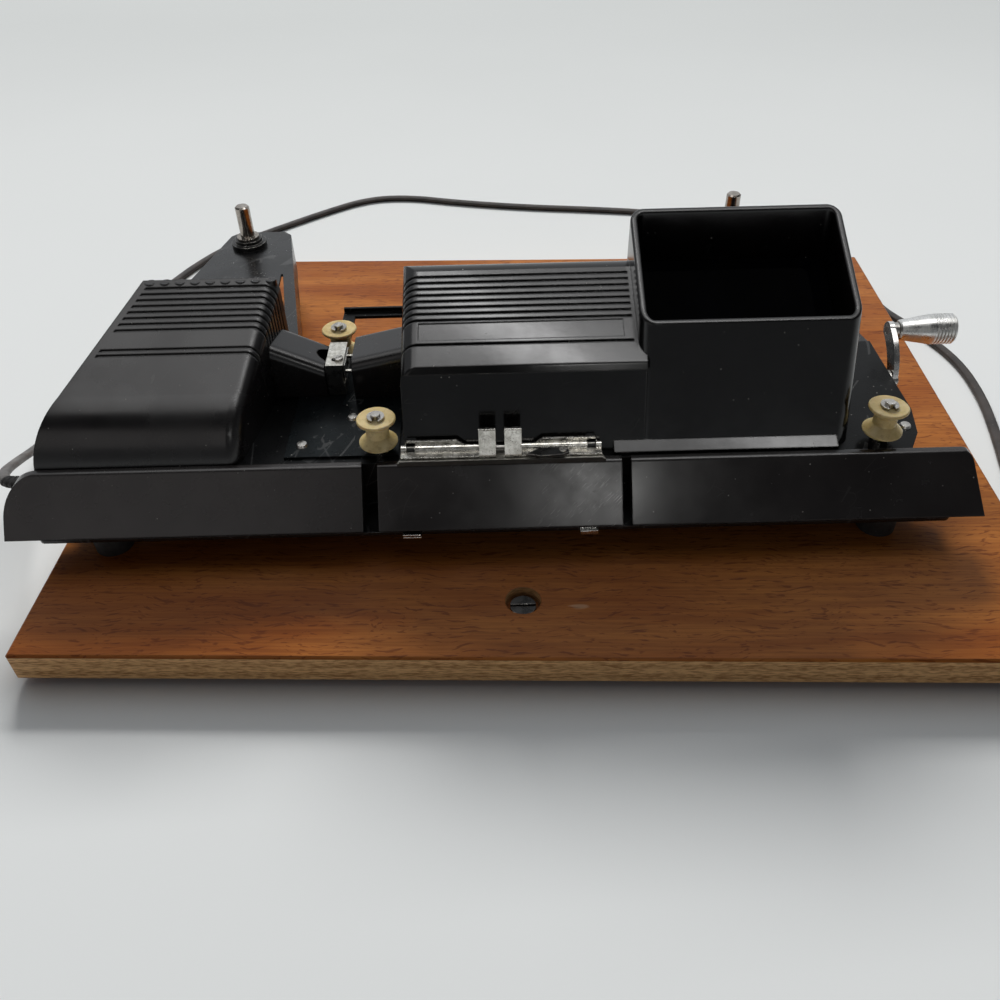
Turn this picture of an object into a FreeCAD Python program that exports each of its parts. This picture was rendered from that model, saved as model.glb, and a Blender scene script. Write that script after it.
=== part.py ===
import FreeCAD, Part
import math
import os

# Film editor viewer for 8 mm film, on its wooden board.
# Lengths are millimetres. The device is drawn in its own axes: X along the front bars from their middle,
# Y back from their lower front edge, Z up from the top of the board. The last section moves it so that
# the origin lies under the middle of the whole object.

V = FreeCAD.Vector

# Board
BOARD_WIDTH = 410.0
BOARD_DEPTH = 326.0
BOARD_THICKNESS = 14.0
BOARD_MIDDLE_X = 22.5
BOARD_MIDDLE_Y = 108.0
BOARD_SKEW_DEG = -2.2
BOARD_EDGE = 1.0
PAD_HEIGHT = 3.0
PAD_RADIUS = 7.0
PAD_INSET = 16.0
BOARD_SCREW_X = 10.7
BOARD_SCREW_Y = -25.1
COUNTERBORE_RADIUS = 7.2
COUNTERBORE_DEPTH = 6.0
BOARD_SCREW_RADIUS = 2.5
BOARD_SCREW_HEAD_RADIUS = 5.2
BOARD_SCREW_HEAD_HEIGHT = 3.2

# Base plate and feet
FOOT_HEIGHT = 10.4
FOOT_RADIUS = 8.0
FOOT_INSET_X = 17.0
FOOT_INSET_FRONT = 10.0
FOOT_INSET_BACK = 15.0
BASE_PLATE_THICKNESS = 1.6
BASE_PLATE_FRONT = 4.0
BASE_PLATE_BACK = 103.0
BASE_PLATE_HALF_WIDTH = 181.0
BASE_PLATE_TAB = 9.0
BASE_PLATE_TAB_BACK = 26.0
BASE_PLATE_FRONT_CORNER = 3.0
FOOT_SCREW_RADIUS = 2.0
FOOT_SCREW_HEAD_RADIUS = 3.6
FOOT_SCREW_HEAD_HEIGHT = 1.8
FOOT_SCREW_DEPTH = 8.0

# Deck pan
DECK_TOP = 36.0
SHEET = 1.5
DECK_FRONT = 19.8
DECK_BACK = 104.0
DECK_HALF_WIDTH = 182.0
DECK_LEFT = -185.0
DECK_LEFT_BACK = -181.0
DECK_LEFT_BEND_Y = 60.0
DECK_LEFT_CORNER = 1.0
DECK_FRONT_CORNER = 28.0
LOOP_LEFT = -75.0
LOOP_RIGHT = -36.0
LOOP_BACK = 146.0
LOOP_STRIP = 6.0
LOOP_LIP = 2.0

# Front bars
BAR_SPAN = 401.0
BAR_BOTTOM = 16.0
BAR_TOP = 37.0
BAR_SLOPE_RUN = 17.0
BAR_DEPTH = 19.8
BAR_EDGE_RADIUS = 2.0
BAR_GAP_LEFT_X = -50.5
BAR_GAP_LEFT = 6.4
BAR_GAP_RIGHT_X = 54.6
BAR_GAP_RIGHT = 3.8
BAR_LEFT_END_RADIUS = 14.0
BAR_RIGHT_END_RADIUS = 4.5
BAR_RIGHT_END_LEAN = 5.0

# Arms
ARM_BACK = 242.0
ARM_TIP_OUTER = 152.0
ARM_TIP_INNER = 117.0
ARM_ROOT_OUTER = 181.0
ARM_ROOT_INNER = 92.0
ARM_FLANGE_BOTTOM = 14.0
ARM_TIP_RADIUS = 9.0
ARM_SLOT_WIDTH = 7.0
ARM_SLOT_FRONT = 140.0
ARM_SLOT_BACK = 188.0
ARM_RIB = 6.0
ARM_SCREW_RADIUS = 2.4
ARM_SCREW_LENGTH = 4.0

# Lamphouse
LAMPHOUSE_FRONT = 20.2
LAMPHOUSE_BACK = 93.0
LAMPHOUSE_FRONT_LEFT = -188.5
LAMPHOUSE_FRONT_RIGHT = -104.0
LAMPHOUSE_BACK_LEFT = -151.0
LAMPHOUSE_BACK_RIGHT = -92.0
LAMPHOUSE_BACK_HEIGHT = 83.0
ROOF_BEND_Y = 40.0
ROOF_BEND_HEIGHT = 58.6
NOSE_MIDDLE_Y = 27.2
NOSE_MIDDLE_HEIGHT = 50.0
LAMPHOUSE_EDGE_RADIUS = 6.0
MOULDING_WALL = 2.5
LAMPHOUSE_GROOVES = 8
LAMPHOUSE_FIRST_GROOVE = 89.0
LAMPHOUSE_GROOVE_PITCH = 2.8
LAMPHOUSE_LINE_GROOVES = (60.4, 58.0)
GROOVE_WIDTH = 1.2
GROOVE_DEPTH = 0.9
GROOVE_MARGIN = 3.0
BACK_RIBS = 9
BACK_RIB_RADIUS = 2.3
BACK_RIB_PITCH = 6.6

# Light path
AXIS_Y = 78.5
AXIS_Z = 47.0
CONDENSER_SHROUD_TIP = -73.4
SHROUD_HALF_WIDTH = 10.9
SHROUD_EDGE_RADIUS = 4.5
CONDENSER_SHROUD_ROOT_HEIGHT = 60.6
CONDENSER_SHROUD_TIP_HEIGHT = 51.6
CONDENSER_RADIUS = 8.0
CONDENSER_THICKNESS = 5.0
CONDENSER_X = -88.0
SHROUD_STOP_RADIUS = 6.5
SHROUD_STOP_X = -84.0
LENS_SHROUD_TIP = -61.0
LENS_SHROUD_HALF_WIDTH = 12.6
LENS_SHROUD_ROOT_HEIGHT = 60.5
LENS_SHROUD_TIP_HEIGHT = 55.0
BARREL_RADIUS = 7.6
BARREL_WALL = 1.4
BARREL_FRONT = -59.0
BARREL_LENGTH = 46.0
RUNNING_GAP = 0.05
ELEMENT_THICKNESS = 3.2

# Lamp
LAMP_X = -128.0
SOCKET_RADIUS = 7.0
SOCKET_FLANGE_RADIUS = 11.0
SOCKET_FLANGE = 1.5
SOCKET_DEPTH = 15.0
SOCKET_BORE_RADIUS = 4.7
LAMP_BASE_RADIUS = 4.6
LAMP_BASE_DEPTH = 8.0
GLOBE_RADIUS = 8.2
REFLECTOR_X = LAMP_X - 15.0
REFLECTOR_RADIUS = 11.0
REFLECTOR_CURVE = 22.0
REFLECTOR_SHEET = 1.0
REFLECTOR_FOOT = 8.0

# Film gate and track
TRACK_LEFT = -86.5
TRACK_RIGHT = -39.0
TRACK_FRONT = 24.0
TRACK_BACK = 92.0
TRACK_THICKNESS = 1.0
GATE_LEFT = -73.0
GATE_RIGHT = -65.2
GATE_FRONT = 69.0
GATE_BACK = 88.5
GATE_TOP = 52.2
FILM_WIDTH = 8.0
FRAME_LENGTH = 5.0
FRAME_HEIGHT = 3.8
CHANNEL_DEPTH = 0.6
PRESSURE_THICKNESS = 1.0
PRESSURE_TRAVEL = 1.5
PRESSURE_FRONT = 71.0
PRESSURE_BACK = 86.0
PRESSURE_PIN_RADIUS = 0.9
PRESSURE_PIN_OFFSET = 6.2

# Rollers
ROLLER_PLACES = {
    "gate_roller": (-70.1, 99.0),
    "front_roller": (-47.0, 27.8),
    "right_roller": (160.8, 26.9),
}
ROLLER_FLANGE_RADIUS = 8.0
ROLLER_WAIST_RADIUS = 4.7
ROLLER_HEIGHT = 12.4
ROLLER_RIM = 1.0
POST_RADIUS = 2.0
POST_SHOULDER_RADIUS = 4.0
POST_ABOVE_CLIP = 1.2
CLIP_RADIUS = 3.6
CLIP_THICKNESS = 0.8
CLIP_GAP = 0.2

# Viewer housing
HOUSING_LEFT = -36.5
HOUSING_RIGHT = 148.2
HOUSING_FRONT = 24.6
FRONT_LEAN = 0.35
EAVE_HEIGHT = 72.6
EAVE_BAND = 4.6
EAVE_REACH = 2.0
EAVE_NOSE = 1.5
ROOF_SLOPE = 0.42
RIM_ROUNDING = 1.2
SILL_HEIGHT = 4.0
SILL_REACH = 3.4
SILL_LEFT = 50.0
LOW_ROOF_BACK = 80.0
HOUSING_BACK = 91.5
LOW_BACK_SHOULDER = 9.0
LOW_LEFT_RADIUS = 7.0
HOOD_LEFT = 59.8
HOOD_BACK = 95.0
RIM_FRONT_HEIGHT = 85.0
RIM_BACK_HEIGHT = 110.0
HOOD_WALL = 3.0
HOOD_CORNER_RADIUS = 6.0
VIEWER_GROOVES = 8
VIEWER_FIRST_GROOVE = 77.2
VIEWER_GROOVE_PITCH = 2.95
VIEWER_LINE_GROOVES = (45.4,)
LABEL_LEFT = -29.0
LABEL_RIGHT = 54.5
LABEL_FRONT = 47.4
LABEL_BACK = 55.2
LABEL_DEPTH = 0.4

# Screen and mirror
SCREEN_DROP = 22.0
SCREEN_THICKNESS = 2.0
SCREEN_GAP = 0.3
LEDGE_REACH = 2.5
LEDGE_THICKNESS = 1.5
MIRROR_LEFT = HOOD_LEFT + 27.0
MIRROR_RUN = 28.0
MIRROR_WIDTH = 30.0
MIRROR_THICKNESS = 2.0
BRACKET_SHEET = 1.5

# Spindles
SPINDLE_X = 139.0
SPINDLE_Y = 225.3
SPINDLE_RADIUS = 3.97
SPINDLE_TOP = 59.6
SEAT_HEIGHT = 42.0
SEAT_RADIUS = 6.2
SEAT_THICKNESS = 1.2
COLLAR_LOWER_RADIUS = 9.8
COLLAR_LOWER_HEIGHT = 2.6
COLLAR_UPPER_RADIUS = 7.6
COLLAR_SKIRT = 3.0
SPINDLE_FOOT = 28.0
RING_RADIUS = 6.5
RING_THICKNESS = 1.5
SPINDLE_TIP_CHAMFER = 0.8

# Drive
CRANK_Y = 77.5
CRANK_Z = 31.0
CRANK_SHAFT_RADIUS = 2.5
CRANK_SHAFT_INNER = DECK_HALF_WIDTH - 47.0
WHEEL_RADIUS = 10.0
WHEEL_LEFT = DECK_HALF_WIDTH - 44.0
WHEEL_RIGHT = DECK_HALF_WIDTH - 38.0
WHEEL_TYRE = 2.5
WINDOW_MARGIN = 2.0
CONTACT_GAP = 0.05
DISC_X = DECK_HALF_WIDTH - 61.0
DISC_RADIUS = 23.6
DISC_THICKNESS = 2.5
DISC_PULLEY_RADIUS = 16.0
DISC_AXLE_RADIUS = 3.0
DISC_AXLE_ABOVE = 3.0
BELT_RADIUS = 1.2
BELT_Z = 15.6
SPINDLE_PULLEY_RADIUS = 8.0
PULLEY_HALF_HEIGHT = 2.0
BELT_WINDOW_MARGIN = 4.0
BEARING_FLANGE_RADIUS = 4.9
BEARING_FLANGE = 1.2
BEARING_RADIUS = 3.4
BEARING_LENGTH = 5.0
BRACKET_X = DECK_HALF_WIDTH - 30.0
BRACKET_THICKNESS = 4.0

# Crank
CRANK_ARM_GAP = 0.4
CRANK_ARM_THICKNESS = 2.4
CRANK_THROW = 23.4
CRANK_ANGLE_DEG = 47.0
CRANK_ARM_HALF_WIDTH = 4.0
CRANK_BOW = 3.0
KNOB_PIN_RADIUS = 2.0
KNOB_LENGTH = 25.0
KNOB_INNER_RADIUS = 4.6
KNOB_OUTER_RADIUS = 7.0
KNOB_STAND_OFF = 2.6
KNOB_RINGS = 6
KNOB_RING_PITCH = 1.5
KNOB_RING_DEPTH = 0.5
KNOB_HEAD_RADIUS = 3.4
KNOB_HEAD_THICKNESS = 1.0

# Splicer
SPLICER_LEFT = -39.0
SPLICER_RIGHT = 46.0
SPLICER_FRONT = 16.0
SPLICER_BACK = 24.2
SPLICER_PLATE = 1.6
SPLICER_RAIL = 1.0
SPLICER_RAIL_HEIGHT = 0.8
CLAMP_GAP = 0.3
CLAMP_THICKNESS = 1.4
LEFT_CLAMP_SPAN = (-37.5, 1.4)
RIGHT_CLAMP_SPAN = (4.9, 44.5)
CLAMP_FRONT = 17.4
FINGER_WIDTH = 6.9
FINGER_HEIGHT = 12.8
FINGER_CURL = 2.2
CLAMP_FLANGE_HEIGHT = 3.4
CLAMP_FLANGE_THICKNESS = 1.0
CLAMP_FLANGE_RAMP = 5.0
LEFT_FLANGE_SPAN = (-36.5, -9.5)
RIGHT_FLANGE_SPAN = (15.5, 43.5)
HINGE_RADIUS = 0.8
ROLL_RADIUS = 1.6
KNUCKLE_RADIUS = 1.3
KNUCKLE_INSET = 4.0
KNUCKLE_WIDTH = 3.0
CUTTER_SPAN = (13.5, 31.0)
CUTTER_THICKNESS = 1.2
CUTTER_PIVOT_X = 28.5
CUTTER_PIVOT_Y = 18.2
CUTTER_PIVOT_RADIUS = 0.9
CUTTER_HEAD_RADIUS = 1.6
CUTTER_HEAD = 0.6

# Cord
CORD_RADIUS = 2.7
GROMMET_REACH = 4.5
GROMMET_RADIUS = 4.6
GROMMET_FLANGE_RADIUS = 6.0
GROMMET_FLANGE = 1.6
CORD_EXIT_Y = 27.5
CORD_EXIT_Z = 24.0
COIL_OUTER = 36.0
COIL_PITCH = 6.4
COIL_LAYER = 6.0
COIL_TURNS = 3
COIL_LEFT = 245.0
COIL_Y = 12.0
COIL_TAIL = 26.0
PLUG_LENGTH = 24.0
PLUG_NECK = 9.0
PLUG_NECK_RADIUS = 4.2
PLUG_WIDTH = 20.0
PLUG_BLADE_LENGTH = 16.0
PLUG_BLADE_WIDTH = 6.3
PLUG_BLADE_THICKNESS = 1.5
PLUG_BLADE_SPACING = 12.7

# Heights that follow from the ones above
BOARD_TOP = PAD_HEIGHT + BOARD_THICKNESS
TABLE = -BOARD_TOP
BASE_PLATE_TOP = FOOT_HEIGHT + BASE_PLATE_THICKNESS
DECK_UNDER = DECK_TOP - SHEET
TRACK_TOP = DECK_TOP + TRACK_THICKNESS
ROLLER_BOTTOM = AXIS_Z - ROLLER_HEIGHT / 2.0
ROLLER_TOP = AXIS_Z + ROLLER_HEIGHT / 2.0

nodes = {}


def box(x0, x1, y0, y1, z0, z1):
    return Part.makeBox(x1 - x0, y1 - y0, z1 - z0, V(x0, y0, z0))


def upright(x, y, z0, z1, radius):
    return Part.makeCylinder(radius, z1 - z0, V(x, y, z0), V(0, 0, 1))


def along_x(x0, x1, y, z, radius):
    return Part.makeCylinder(radius, x1 - x0, V(x0, y, z), V(1, 0, 0))


def polygon(points):
    return Part.Face(Part.makePolygon(points + [points[0]]))


def plan(points, z0, z1):
    face = polygon([V(x, y, z0) for x, y in points])
    return face.extrude(V(0, 0, z1 - z0))


def inset_plan(points, inset, z0, z1):
    face = polygon([V(x, y, z0) for x, y in points])
    if inset > 0:
        face = face.makeOffset2D(-inset, 2)
    return face.extrude(V(0, 0, z1 - z0))


def side(points, x0, x1):
    face = polygon([V(x0, y, z) for y, z in points])
    return face.extrude(V(x1 - x0, 0, 0))


def upright_edges(shape, near):
    chosen = []
    for edge in shape.Edges:
        first = edge.Vertexes[0].Point
        last = edge.Vertexes[-1].Point
        vertical = abs(first.x - last.x) < 0.01 and abs(first.y - last.y) < 0.01 and abs(first.z - last.z) > 0.1
        if vertical and near(first.x, first.y):
            chosen.append(edge)
    return chosen


def revolve_up(x, y, points):
    face = polygon([V(x + r, y, z) for r, z in points])
    return face.revolve(V(x, y, 0), V(0, 0, 1), 360)


def revolve_along_x(y, z, points):
    face = polygon([V(x, y, z + r) for x, r in points])
    return face.revolve(V(0, y, z), V(1, 0, 0), 360)


def joined(shapes):
    result = shapes[0]
    for shape in shapes[1:]:
        result = result.fuse(shape)
    return result.removeSplitter()


def mirrored_x(shape):
    return shape.mirror(V(0, 0, 0), V(1, 0, 0))


# Wooden board with its counterbored hole, the screw in it and the pads under its corners
def on_board(x, y):
    angle = math.radians(BOARD_SKEW_DEG)
    across = x - BOARD_MIDDLE_X
    back = y - BOARD_MIDDLE_Y
    return (
        across * math.cos(angle) + back * math.sin(angle),
        -across * math.sin(angle) + back * math.cos(angle),
    )


def skewed(shape):
    shape.rotate(V(0, 0, 0), V(0, 0, 1), BOARD_SKEW_DEG)
    shape.translate(V(BOARD_MIDDLE_X, BOARD_MIDDLE_Y, 0))
    return shape


def wooden_board():
    half_x = BOARD_WIDTH / 2.0
    half_y = BOARD_DEPTH / 2.0
    slab = box(-half_x, half_x, -half_y, half_y, -BOARD_THICKNESS, 0)
    slab = slab.makeChamfer(BOARD_EDGE, slab.Edges)
    x, y = on_board(BOARD_SCREW_X, BOARD_SCREW_Y)
    slab = slab.cut(upright(x, y, -COUNTERBORE_DEPTH, BOARD_EDGE, COUNTERBORE_RADIUS))
    slab = slab.cut(upright(x, y, -BOARD_THICKNESS - 1, 0, BOARD_SCREW_RADIUS))
    for foot_x, foot_y in foot_places():
        x, y = on_board(foot_x, foot_y)
        slab = slab.cut(upright(x, y, -FOOT_SCREW_DEPTH, 1, FOOT_SCREW_RADIUS))
    return skewed(slab)


def board_pads():
    pads = []
    for sign_x in (-1, 1):
        for sign_y in (-1, 1):
            x = sign_x * (BOARD_WIDTH / 2.0 - PAD_INSET)
            y = sign_y * (BOARD_DEPTH / 2.0 - PAD_INSET)
            pads.append(skewed(upright(x, y, TABLE, -BOARD_THICKNESS, PAD_RADIUS)))
    return Part.makeCompound(pads)


def board_screw():
    head_base = -COUNTERBORE_DEPTH
    head = upright(
        BOARD_SCREW_X, BOARD_SCREW_Y, head_base, head_base + BOARD_SCREW_HEAD_HEIGHT, BOARD_SCREW_HEAD_RADIUS
    )
    slot_depth = BOARD_SCREW_HEAD_HEIGHT / 2.0
    slot = box(-BOARD_SCREW_HEAD_RADIUS, BOARD_SCREW_HEAD_RADIUS, -0.6, 0.6, 0, slot_depth)
    slot.translate(V(BOARD_SCREW_X, BOARD_SCREW_Y, head_base + slot_depth))
    shank = upright(BOARD_SCREW_X, BOARD_SCREW_Y, -BOARD_THICKNESS, head_base, BOARD_SCREW_RADIUS)
    return joined([head, shank]).cut(slot)


nodes["wood_board"] = lambda: wooden_board()
nodes["board_pads"] = lambda: board_pads()
nodes["board_screw"] = lambda: board_screw()


# Steel base plate, four rubber feet on the board and the screws that hold them down
def foot_places():
    spread = BASE_PLATE_HALF_WIDTH - FOOT_INSET_X
    return [
        (sign * spread, y)
        for sign in (-1, 1)
        for y in (BASE_PLATE_FRONT + FOOT_INSET_FRONT, BASE_PLATE_BACK - FOOT_INSET_BACK)
    ]


def base_plate():
    plate = box(
        -BASE_PLATE_HALF_WIDTH, BASE_PLATE_HALF_WIDTH, BASE_PLATE_FRONT, BASE_PLATE_BACK, FOOT_HEIGHT, BASE_PLATE_TOP
    )
    tab = BASE_PLATE_HALF_WIDTH + BASE_PLATE_TAB
    flange = box(-tab, tab, BASE_PLATE_FRONT, BASE_PLATE_TAB_BACK, FOOT_HEIGHT, BASE_PLATE_TOP)
    plate = joined([plate, flange])
    corners = upright_edges(plate, lambda x, y: y < BASE_PLATE_FRONT + 1)
    plate = plate.makeFillet(BASE_PLATE_FRONT_CORNER, corners)
    for x, y in foot_places():
        plate = plate.cut(upright(x, y, FOOT_HEIGHT - 1, BASE_PLATE_TOP + 1, FOOT_SCREW_RADIUS))
    axle_hole = upright(DISC_X, CRANK_Y, FOOT_HEIGHT - 1, BASE_PLATE_TOP + 1, DISC_AXLE_RADIUS)
    return plate.cut(axle_hole)


def rubber_feet():
    feet = []
    for x, y in foot_places():
        foot = upright(x, y, 0, FOOT_HEIGHT, FOOT_RADIUS)
        feet.append(foot.cut(upright(x, y, -1, FOOT_HEIGHT + 1, FOOT_SCREW_RADIUS)))
    return Part.makeCompound(feet)


def foot_screws():
    screws = []
    for x, y in foot_places():
        head = upright(x, y, BASE_PLATE_TOP, BASE_PLATE_TOP + FOOT_SCREW_HEAD_HEIGHT, FOOT_SCREW_HEAD_RADIUS)
        shank = upright(x, y, -FOOT_SCREW_DEPTH, BASE_PLATE_TOP, FOOT_SCREW_RADIUS)
        screws.append(joined([head, shank]))
    return Part.makeCompound(screws)


nodes["base_plate"] = lambda: base_plate()
nodes["rubber_feet"] = lambda: rubber_feet()
nodes["foot_screws"] = lambda: foot_screws()


# Deck: a pressed steel pan upside down on the base plate, open below, with a wire-like loop at the back
# behind the gate that keeps the film off the bench
def deck_points():
    corner = DECK_FRONT_CORNER
    cut = corner * 0.35
    right = [
        (DECK_HALF_WIDTH - cut, DECK_FRONT),
        (DECK_HALF_WIDTH - cut * 0.35, DECK_FRONT + corner * 0.4),
        (DECK_HALF_WIDTH, DECK_FRONT + corner),
        (DECK_HALF_WIDTH, DECK_BACK),
    ]
    left = [
        (DECK_LEFT_BACK, DECK_BACK),
        (DECK_LEFT, DECK_LEFT_BEND_Y),
        (DECK_LEFT, DECK_FRONT + DECK_LEFT_CORNER),
        (DECK_LEFT + DECK_LEFT_CORNER, DECK_FRONT),
    ]
    return right + left


def deck_pan():
    outer = inset_plan(deck_points(), 0, BASE_PLATE_TOP, DECK_TOP)
    inner = inset_plan(deck_points(), SHEET, BASE_PLATE_TOP - 1, DECK_UNDER)
    pan = outer.cut(inner)
    loop = box(LOOP_LEFT, LOOP_RIGHT, DECK_BACK, LOOP_BACK, DECK_UNDER, DECK_TOP)
    loop = loop.cut(
        box(
            LOOP_LEFT + LOOP_STRIP, LOOP_RIGHT - LOOP_STRIP, DECK_BACK + LOOP_STRIP, LOOP_BACK - LOOP_STRIP,
            DECK_UNDER - 1, DECK_TOP + 1,
        )
    )
    lip = box(LOOP_LEFT, LOOP_RIGHT, LOOP_BACK - SHEET, LOOP_BACK, DECK_TOP, DECK_TOP + LOOP_LIP)
    pan = joined([pan, loop, lip])
    socket_hole = upright(LAMP_X, AXIS_Y, DECK_UNDER - 1, DECK_TOP + 1, SOCKET_RADIUS)
    window = box(
        WHEEL_LEFT - WINDOW_MARGIN, WHEEL_RIGHT + WINDOW_MARGIN,
        CRANK_Y - WHEEL_RADIUS - WINDOW_MARGIN, CRANK_Y + WHEEL_RADIUS + WINDOW_MARGIN,
        DECK_UNDER - 1, DECK_TOP + 1,
    )
    belt_slot = box(
        DISC_X - DISC_PULLEY_RADIUS - BELT_WINDOW_MARGIN, SPINDLE_X + SPINDLE_PULLEY_RADIUS + BELT_WINDOW_MARGIN,
        DECK_BACK - SHEET - 1, DECK_BACK + 1,
        BASE_PLATE_TOP, BELT_Z + BELT_RADIUS + BELT_WINDOW_MARGIN,
    )
    bearing_hole = along_x(DECK_HALF_WIDTH - SHEET - 1, DECK_HALF_WIDTH + 1, CRANK_Y, CRANK_Z, BEARING_RADIUS)
    grommet_hole = along_x(DECK_LEFT - 1, DECK_LEFT + SHEET + 1, CORD_EXIT_Y, CORD_EXIT_Z, GROMMET_RADIUS)
    for hole in (socket_hole, window, belt_slot, bearing_hole, grommet_hole):
        pan = pan.cut(hole)
    for x, y in ROLLER_PLACES.values():
        pan = pan.cut(upright(x, y, DECK_UNDER - 1, DECK_TOP + 1, POST_RADIUS))
    for x, y in deck_screw_places():
        pan = pan.cut(upright(x, y, DECK_UNDER - 1, DECK_TOP + 1, DECK_SCREW_RADIUS))
    for x, z in arm_screw_places():
        hole = Part.makeCylinder(ARM_SCREW_RADIUS, SHEET + 2, V(x, DECK_BACK - SHEET - 1, z), V(0, 1, 0))
        pan = pan.cut(hole)
    return pan


nodes["deck_pan"] = lambda: deck_pan()

# Small round-headed screws that show on the deck
DECK_SCREW_RADIUS = 1.4
DECK_SCREW_HEAD_RADIUS = 2.6
DECK_SCREW_HEAD = 1.3
TRACK_SCREW_PLACES = ((-60.6, 50.8), (-80.0, 32.0))
SIDE_SCREW_PLACE = (DECK_HALF_WIDTH - 7.0, 36.0)


def deck_screw_places():
    return list(TRACK_SCREW_PLACES) + [SIDE_SCREW_PLACE]


def deck_screws():
    screws = []
    for x, y in deck_screw_places():
        on_track = (x, y) in TRACK_SCREW_PLACES
        seat = TRACK_TOP if on_track else DECK_TOP
        head = revolve_up(
            x, y,
            [
                (0, seat), (DECK_SCREW_HEAD_RADIUS, seat), (DECK_SCREW_HEAD_RADIUS * 0.75, seat + DECK_SCREW_HEAD * 0.8),
                (0, seat + DECK_SCREW_HEAD),
            ],
        )
        shank = upright(x, y, DECK_UNDER - 2, seat, DECK_SCREW_RADIUS)
        screws.append(joined([head, shank]))
    return Part.makeCompound(screws)


nodes["deck_screws"] = lambda: deck_screws()


# Three bakelite bars that face the front edge of the deck, with sloping fronts
def bar(x0, x1):
    profile = [
        (0, BAR_BOTTOM),
        (BAR_SLOPE_RUN, BAR_TOP),
        (BAR_DEPTH, BAR_TOP),
        (BAR_DEPTH, BAR_BOTTOM),
    ]
    solid = side(profile, x0, x1)
    top_edges = []
    for edge in solid.Edges:
        middle = edge.CenterOfMass
        if abs(middle.y - BAR_SLOPE_RUN) < 0.01 and abs(middle.z - BAR_TOP) < 0.01:
            top_edges.append(edge)
    return solid.makeFillet(BAR_EDGE_RADIUS, top_edges)


def bar_outline(left_lean, right_lean, left_radius, right_radius):
    half = BAR_SPAN / 2.0
    outline = polygon(
        [
            V(-half, -1, BAR_BOTTOM), V(half, -1, BAR_BOTTOM), V(half - right_lean, -1, BAR_TOP),
            V(left_lean - half, -1, BAR_TOP),
        ]
    )
    block = outline.extrude(V(0, BAR_DEPTH + 2, 0))
    for end, radius in ((-1, left_radius), (1, right_radius)):
        corner = []
        for edge in block.Edges:
            middle = edge.CenterOfMass
            if abs(middle.z - BAR_TOP) < 0.01 and middle.x * end > half - 10 and edge.Length > BAR_DEPTH:
                corner.append(edge)
        block = block.makeFillet(radius, corner)
    return block


def end_bar(x0, x1):
    ends = bar_outline(0, BAR_RIGHT_END_LEAN, BAR_LEFT_END_RADIUS, BAR_RIGHT_END_RADIUS)
    return bar(x0, x1).common(ends)


def left_bar_end():
    return BAR_GAP_LEFT_X - BAR_GAP_LEFT / 2.0


def centre_bar_ends():
    return BAR_GAP_LEFT_X + BAR_GAP_LEFT / 2.0, BAR_GAP_RIGHT_X - BAR_GAP_RIGHT / 2.0


def right_bar_start():
    return BAR_GAP_RIGHT_X + BAR_GAP_RIGHT / 2.0


nodes["left_front_bar"] = lambda: end_bar(-BAR_SPAN / 2.0, left_bar_end())
nodes["centre_front_bar"] = lambda: bar(*centre_bar_ends())
nodes["right_front_bar"] = lambda: end_bar(right_bar_start(), BAR_SPAN / 2.0)


# Arms: steel channels open below, bolted to the back of the deck, that carry the reel spindles
def arm_points():
    return [
        (-ARM_ROOT_OUTER, DECK_BACK),
        (-ARM_ROOT_INNER, DECK_BACK),
        (-ARM_TIP_INNER, ARM_BACK - ARM_TIP_RADIUS / 2.0),
        (-ARM_TIP_INNER - ARM_TIP_RADIUS / 2.0, ARM_BACK),
        (-ARM_TIP_OUTER + ARM_TIP_RADIUS / 2.0, ARM_BACK),
        (-ARM_TIP_OUTER, ARM_BACK - ARM_TIP_RADIUS / 2.0),
    ]


def inner_edge_x(y):
    share = (y - DECK_BACK) / (ARM_BACK - ARM_TIP_RADIUS / 2.0 - DECK_BACK)
    return -ARM_ROOT_INNER - share * (ARM_TIP_INNER - ARM_ROOT_INNER)


def left_arm_shape():
    outer = inset_plan(arm_points(), 0, ARM_FLANGE_BOTTOM, DECK_TOP)
    inner = inset_plan(arm_points(), SHEET, ARM_FLANGE_BOTTOM - 1, DECK_UNDER)
    channel = outer.cut(inner)
    slot = [
        (inner_edge_x(ARM_SLOT_FRONT) - ARM_RIB - ARM_SLOT_WIDTH, ARM_SLOT_FRONT),
        (inner_edge_x(ARM_SLOT_FRONT) - ARM_RIB, ARM_SLOT_FRONT),
        (inner_edge_x(ARM_SLOT_BACK) - ARM_RIB, ARM_SLOT_BACK),
        (inner_edge_x(ARM_SLOT_BACK) - ARM_RIB - 1, ARM_SLOT_BACK),
    ]
    channel = channel.cut(plan(slot, DECK_UNDER - 1, DECK_TOP + 1))
    channel = channel.cut(upright(-SPINDLE_X, SPINDLE_Y, DECK_UNDER - 1, DECK_TOP + 1, COLLAR_UPPER_RADIUS))
    for x, z in arm_screw_places():
        if x < 0:
            hole = Part.makeCylinder(ARM_SCREW_RADIUS, SHEET + 2, V(x, DECK_BACK - 1, z), V(0, 1, 0))
            channel = channel.cut(hole)
    return channel


def right_arm():
    arm = mirrored_x(left_arm_shape())
    belt_slot = box(
        DISC_X - DISC_PULLEY_RADIUS - BELT_WINDOW_MARGIN, SPINDLE_X + SPINDLE_PULLEY_RADIUS + BELT_WINDOW_MARGIN,
        DECK_BACK - 1, DECK_BACK + SHEET + 1,
        ARM_FLANGE_BOTTOM - 1, BELT_Z + BELT_RADIUS + BELT_WINDOW_MARGIN,
    )
    return arm.cut(belt_slot)


def arm_screw_places():
    height = (DECK_UNDER + BELT_Z + BELT_RADIUS + BELT_WINDOW_MARGIN) / 2.0
    return [(sign * x, height) for sign in (-1, 1) for x in (ARM_ROOT_INNER + 12, ARM_ROOT_OUTER - 12)]


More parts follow.
